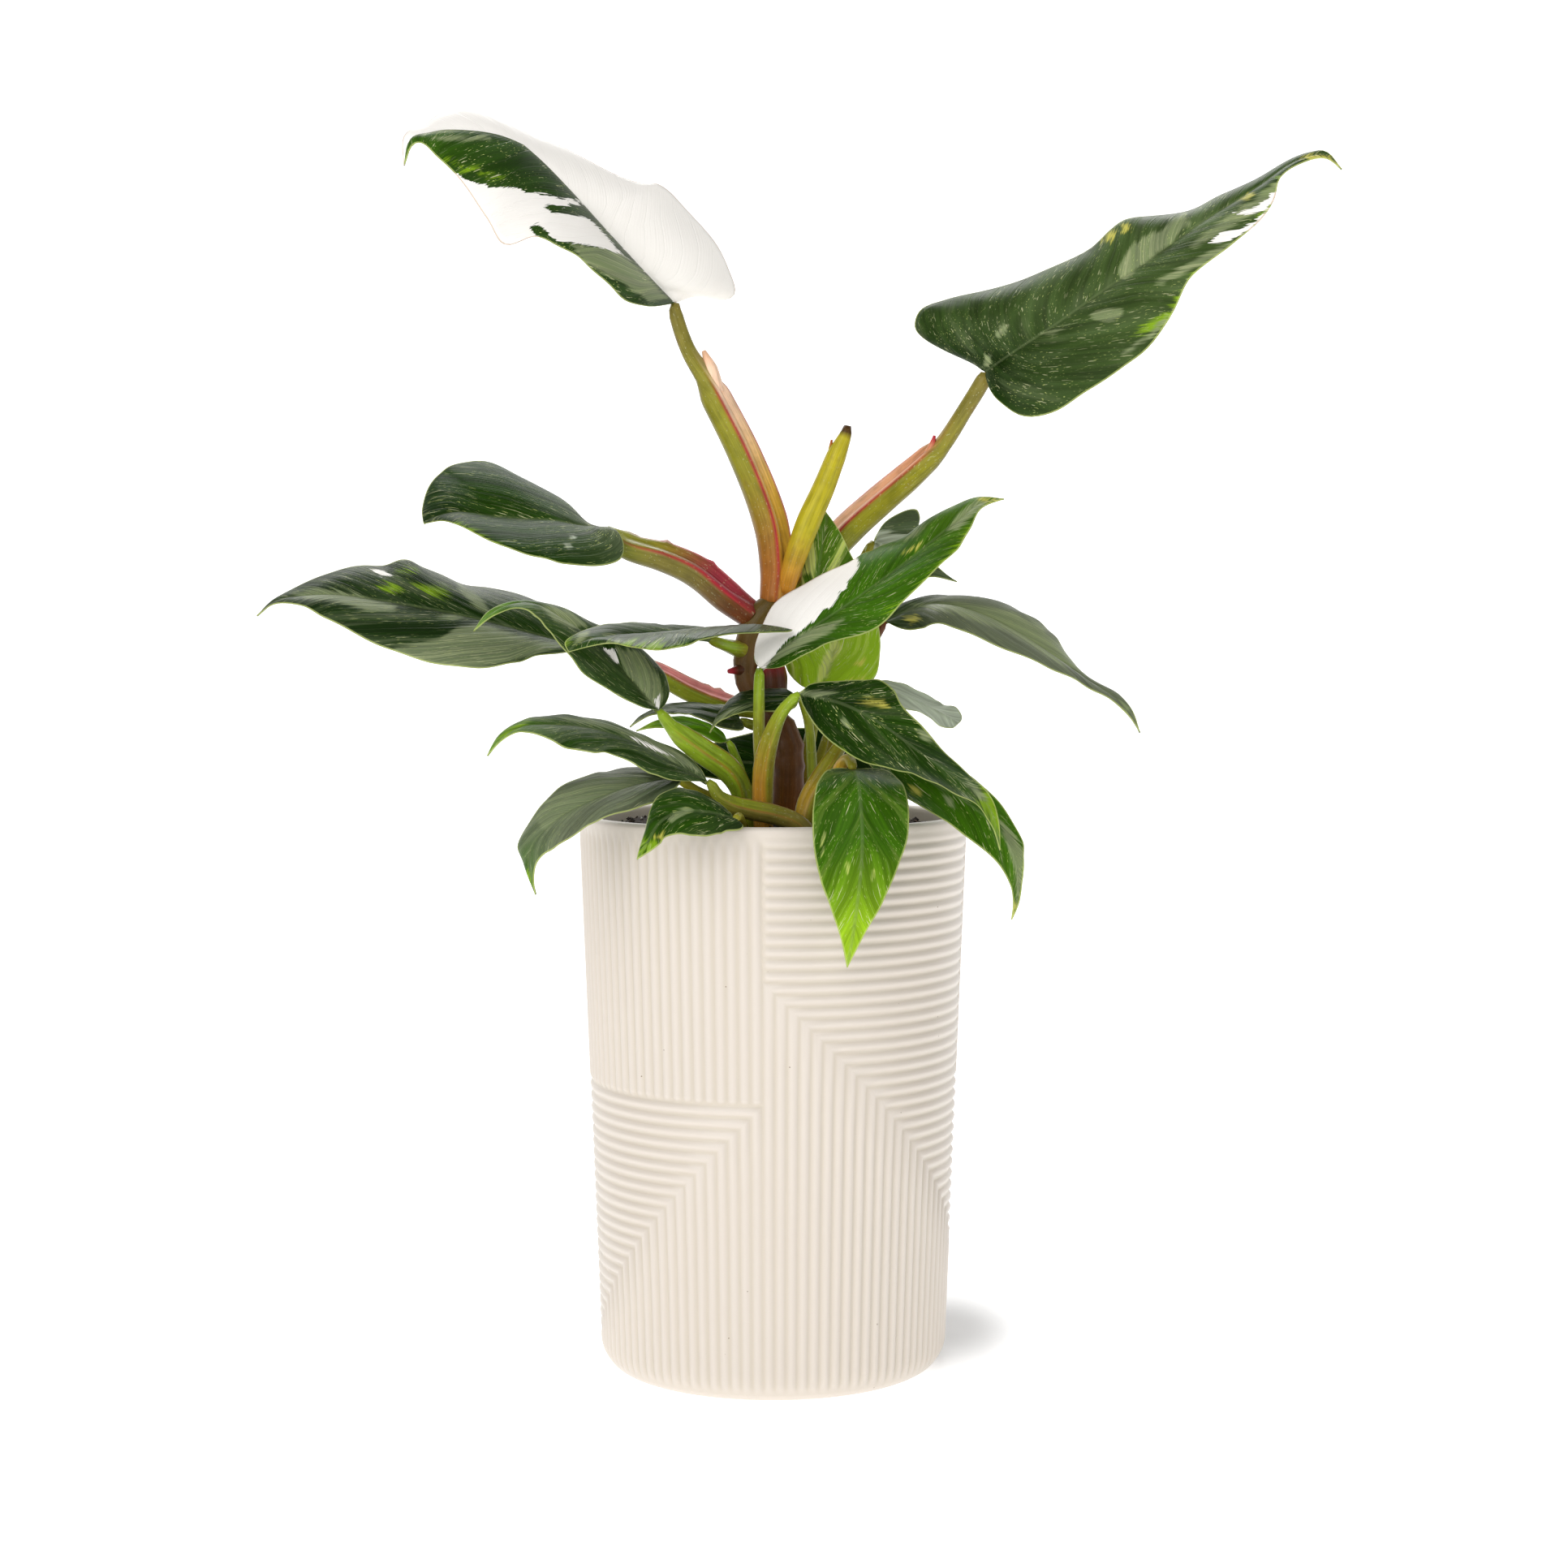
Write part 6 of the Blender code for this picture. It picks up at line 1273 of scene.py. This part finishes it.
def soil_piece(material):
    """The soil as a full core with an uneven crumbly top."""
    shape = Shape()
    angle = 2 * math.pi * np.arange(SOIL_SIDES) / SOIL_SIDES
    low = wall_radius(FLOOR) - WALL - SOIL_GAP
    rings = [(low - 3.0, FLOOR + SOIL_GAP), (low, FLOOR + 3.3), (SOIL_RADIUS - 0.2, SOIL_TOP - 3.0)]
    profile = [round_the_axis(r, z, angle) for r, z in rings]
    height, pace, seed = GRAIN
    for part in np.linspace(1.0, 0.02, SOIL_RINGS):
        level = SOIL_TOP - EDGE_DIP * smoothstep(DIP_FROM, DIP_TO, part)
        ring = []
        for a in angle:
            x, y = part * SOIL_RADIUS * math.sin(a), -part * SOIL_RADIUS * math.cos(a)
            lump = soil_lump(x, y) + height * noise.noise((x * pace, y * pace, seed))
            ring.append((x, y, level + lump * min(1.0, (1.02 - part) * 14)))
        profile.append(np.array(ring))
    shape.add(np.vstack(profile), tube_faces(len(profile), SOIL_SIDES), 0)
    weld_and_turn(shape.piece("soil_bed", [material], "soil"))


def crumb_piece(material):
    """Loose crumbs, chips of bark and perlite on the soil, as eight-sided lumps."""
    rng = random.Random(CRUMB_SEED)
    crumbs = Shape()
    corners = [(0, 0, 1), (0, 0, -1), (1, 0, 0), (-1, 0, 0), (0, 1, 0), (0, -1, 0)]
    faces = [(0, 2, 4), (0, 4, 3), (0, 3, 5), (0, 5, 2), (1, 4, 2), (1, 3, 4), (1, 5, 3), (1, 2, 5)]
    for _ in range(LOOSE_PIECES):
        kind = rng.random()
        r = SOIL_RADIUS * 0.95 * math.sqrt(rng.random())
        a = rng.uniform(0, 2 * math.pi)
        size = rng.uniform(0.4, 1.3) if kind < CRUMBS_UP_TO else rng.uniform(0.6, 1.5)
        stretch = (rng.uniform(0.7, 1.3), rng.uniform(0.7, 1.3), rng.uniform(0.5, 0.9))
        if CRUMBS_UP_TO <= kind < BARK_UP_TO:
            stretch = (rng.uniform(1.5, 2.8), rng.uniform(0.6, 1.0), rng.uniform(0.3, 0.6))
        tone = 0.0 if kind < CRUMBS_UP_TO else 1.0 if kind < BARK_UP_TO else 2.0
        spin = rng.uniform(0, math.pi)
        x, y = r * math.sin(a), -r * math.cos(a)
        level = SOIL_TOP + (soil_lump(x, y) - EDGE_DIP * smoothstep(DIP_FROM, DIP_TO, r / SOIL_RADIUS))
        points = []
        for corner in corners:
            sx, sy, sz = (c * s * rng.uniform(0.7, 1.2) * size for c, s in zip(corner, stretch))
            points.append((x + sx * math.cos(spin) - sy * math.sin(spin),
                           y + sx * math.sin(spin) + sy * math.cos(spin), level + 0.35 * size + sz))
        crumbs.add(np.array(points), faces, 0, flow=(tone, 0.0, 0.0))
    weld_and_turn(crumbs.piece("soil_crumbs", [material]), 40)


def stage_and_light():
    """A pale floor that curves up into a backdrop, and soft studio light from the upper left. The paper
    glows, but for a painted shadow beside the foot.
    """
    paper = Graph("paper")
    grain = paper.noise(paper.place(), 0.02, 3.0)
    tone = paper.ramp(grain, 0.3, 0.7, 0.66, 0.69)
    paper.finish(paper.vector(tone, tone, tone), 0.9, Specular_IOR_Level=0.1)
    squeezed = paper.node("ShaderNodeVectorMath", {0: paper.place(), 1: SHADOW_SQUEEZE}, operation="MULTIPLY")
    reach = {0: squeezed.outputs[0], 1: SHADOW_MIDDLE}
    away = paper.node("ShaderNodeVectorMath", reach, operation="DISTANCE").outputs["Value"]
    # Painted shadow: the paper's glow fades out beside the foot, leaving it darker there.
    glow = paper.ramp(away, SHADOW_FROM, SHADOW_TO, 0.0, PAPER_GLOW)
    paper.put(WHITE, paper.shader.inputs["Emission Color"])
    paper.put(glow, paper.shader.inputs["Emission Strength"])
    profile = [(PAPER_FRONT, 0.0), (BEND_START, 0.0)]
    for degrees in range(10, 91, 10):
        bend = math.radians(degrees)
        profile.append((BEND_START + BEND_RADIUS * math.sin(bend), BEND_RADIUS * (1 - math.cos(bend))))
    profile.append((BEND_START + BEND_RADIUS, PAPER_TOP))
    points = [(x, y, z) for y, z in profile for x in (-PAPER_SIDE, PAPER_SIDE)]
    faces = [(2 * i, 2 * i + 1, 2 * i + 3, 2 * i + 2) for i in range(len(profile) - 1)]
    mesh = bpy.data.meshes.new("backdrop")
    mesh.from_pydata(points, [], faces)
    mesh.materials.append(paper.material)
    mesh.shade_smooth()
    backdrop = bpy.data.objects.new("backdrop", mesh)
    bpy.context.scene.collection.objects.link(backdrop)

    world = bpy.data.worlds.new("studio")
    world.use_nodes = True
    sky = world.node_tree.nodes["Background"]
    sky.inputs["Color"].default_value = WHITE
    seen_directly = world.node_tree.nodes.new("ShaderNodeLightPath").outputs["Is Camera Ray"]
    strength = world.node_tree.nodes.new("ShaderNodeMapRange")
    strength.inputs["To Min"].default_value = SKY_LIGHT
    world.node_tree.links.new(seen_directly, strength.inputs["Value"])
    world.node_tree.links.new(strength.outputs[0], sky.inputs["Strength"])
    bpy.context.scene.world = world

    for name, place, aim, size, power in LIGHTS:
        data = bpy.data.lights.new(name, "AREA")
        data.shape = "SQUARE"
        data.size = size
        data.energy = power
        lamp = bpy.data.objects.new(name, data)
        bpy.context.scene.collection.objects.link(lamp)
        lamp.location = place
        lamp.rotation_euler = (Vector(aim) - Vector(place)).to_track_quat("-Z", "Y").to_euler()


def camera():
    """The photograph's view."""
    data = bpy.data.cameras.new("camera")
    data.lens = LENS
    data.sensor_width = SENSOR
    view = bpy.data.objects.new("camera", data)
    view.location = Vector(EYE) * MM
    view.rotation_euler = (math.pi / 2 - EYE_PITCH, 0.0, 0.0)
    bpy.context.scene.collection.objects.link(view)
    bpy.context.scene.camera = view


def main():
    """Every piece on its node, then the stage, the light and the camera."""
    waxy, soft = leaf_material("leaf_blade", WAXY), leaf_material("soft_leaf_blade", SOFT)
    petiole = stalk_material("petiole", 0.25)
    bark, sheath = stalk_material("stem_bark", 0.04, 0.0), stalk_material("shoot_skin", 0.15)
    weld_and_turn(pot_piece(glaze_material()))
    compost = soil_material()
    soil_piece(compost)
    crumb_piece(compost)
    for number, (name, stem) in enumerate(STEMS.items()):
        shape = Shape()
        look = LOOKS[name]
        woody = name == "main_stem"
        add_stalk(shape, stem["route"], stem["radii"], shut(stem["radii"]), stem["face"], look["stalk"],
                  STEM_SEED + number, 0, NODE_SCARS if woody else 0.0, look.get("dry", 0.0))
        add_tips(shape, stem, look, STEM_TIP_SEED + number, 0)
        shape.piece(name + "_skin", [bark if woody else sheath], name)
    for number, (name, leaf) in enumerate(LEAVES.items()):
        shape = Shape()
        look = LOOKS[name]
        seed = LEAF_SEED + LEAF_SEED_STEP * number
        add_blade(shape, leaf, look, seed)
        add_stalk(shape, leaf_routes(leaf)["stalk"], leaf["radii"], leaf.get("sheath", shut(leaf["radii"])),
                  leaf["face"], look.get("stalk", PLAIN_STALK), seed, 1, teeth=look.get("teeth", 0.0))
        add_tips(shape, leaf, look, seed, 1)
        shape.piece(name + "_blade", [soft if name in SOFT_LEAVES else waxy, petiole], name)
    stage_and_light()
    camera()
    bpy.context.scene.view_settings.view_transform = "Standard"


main()
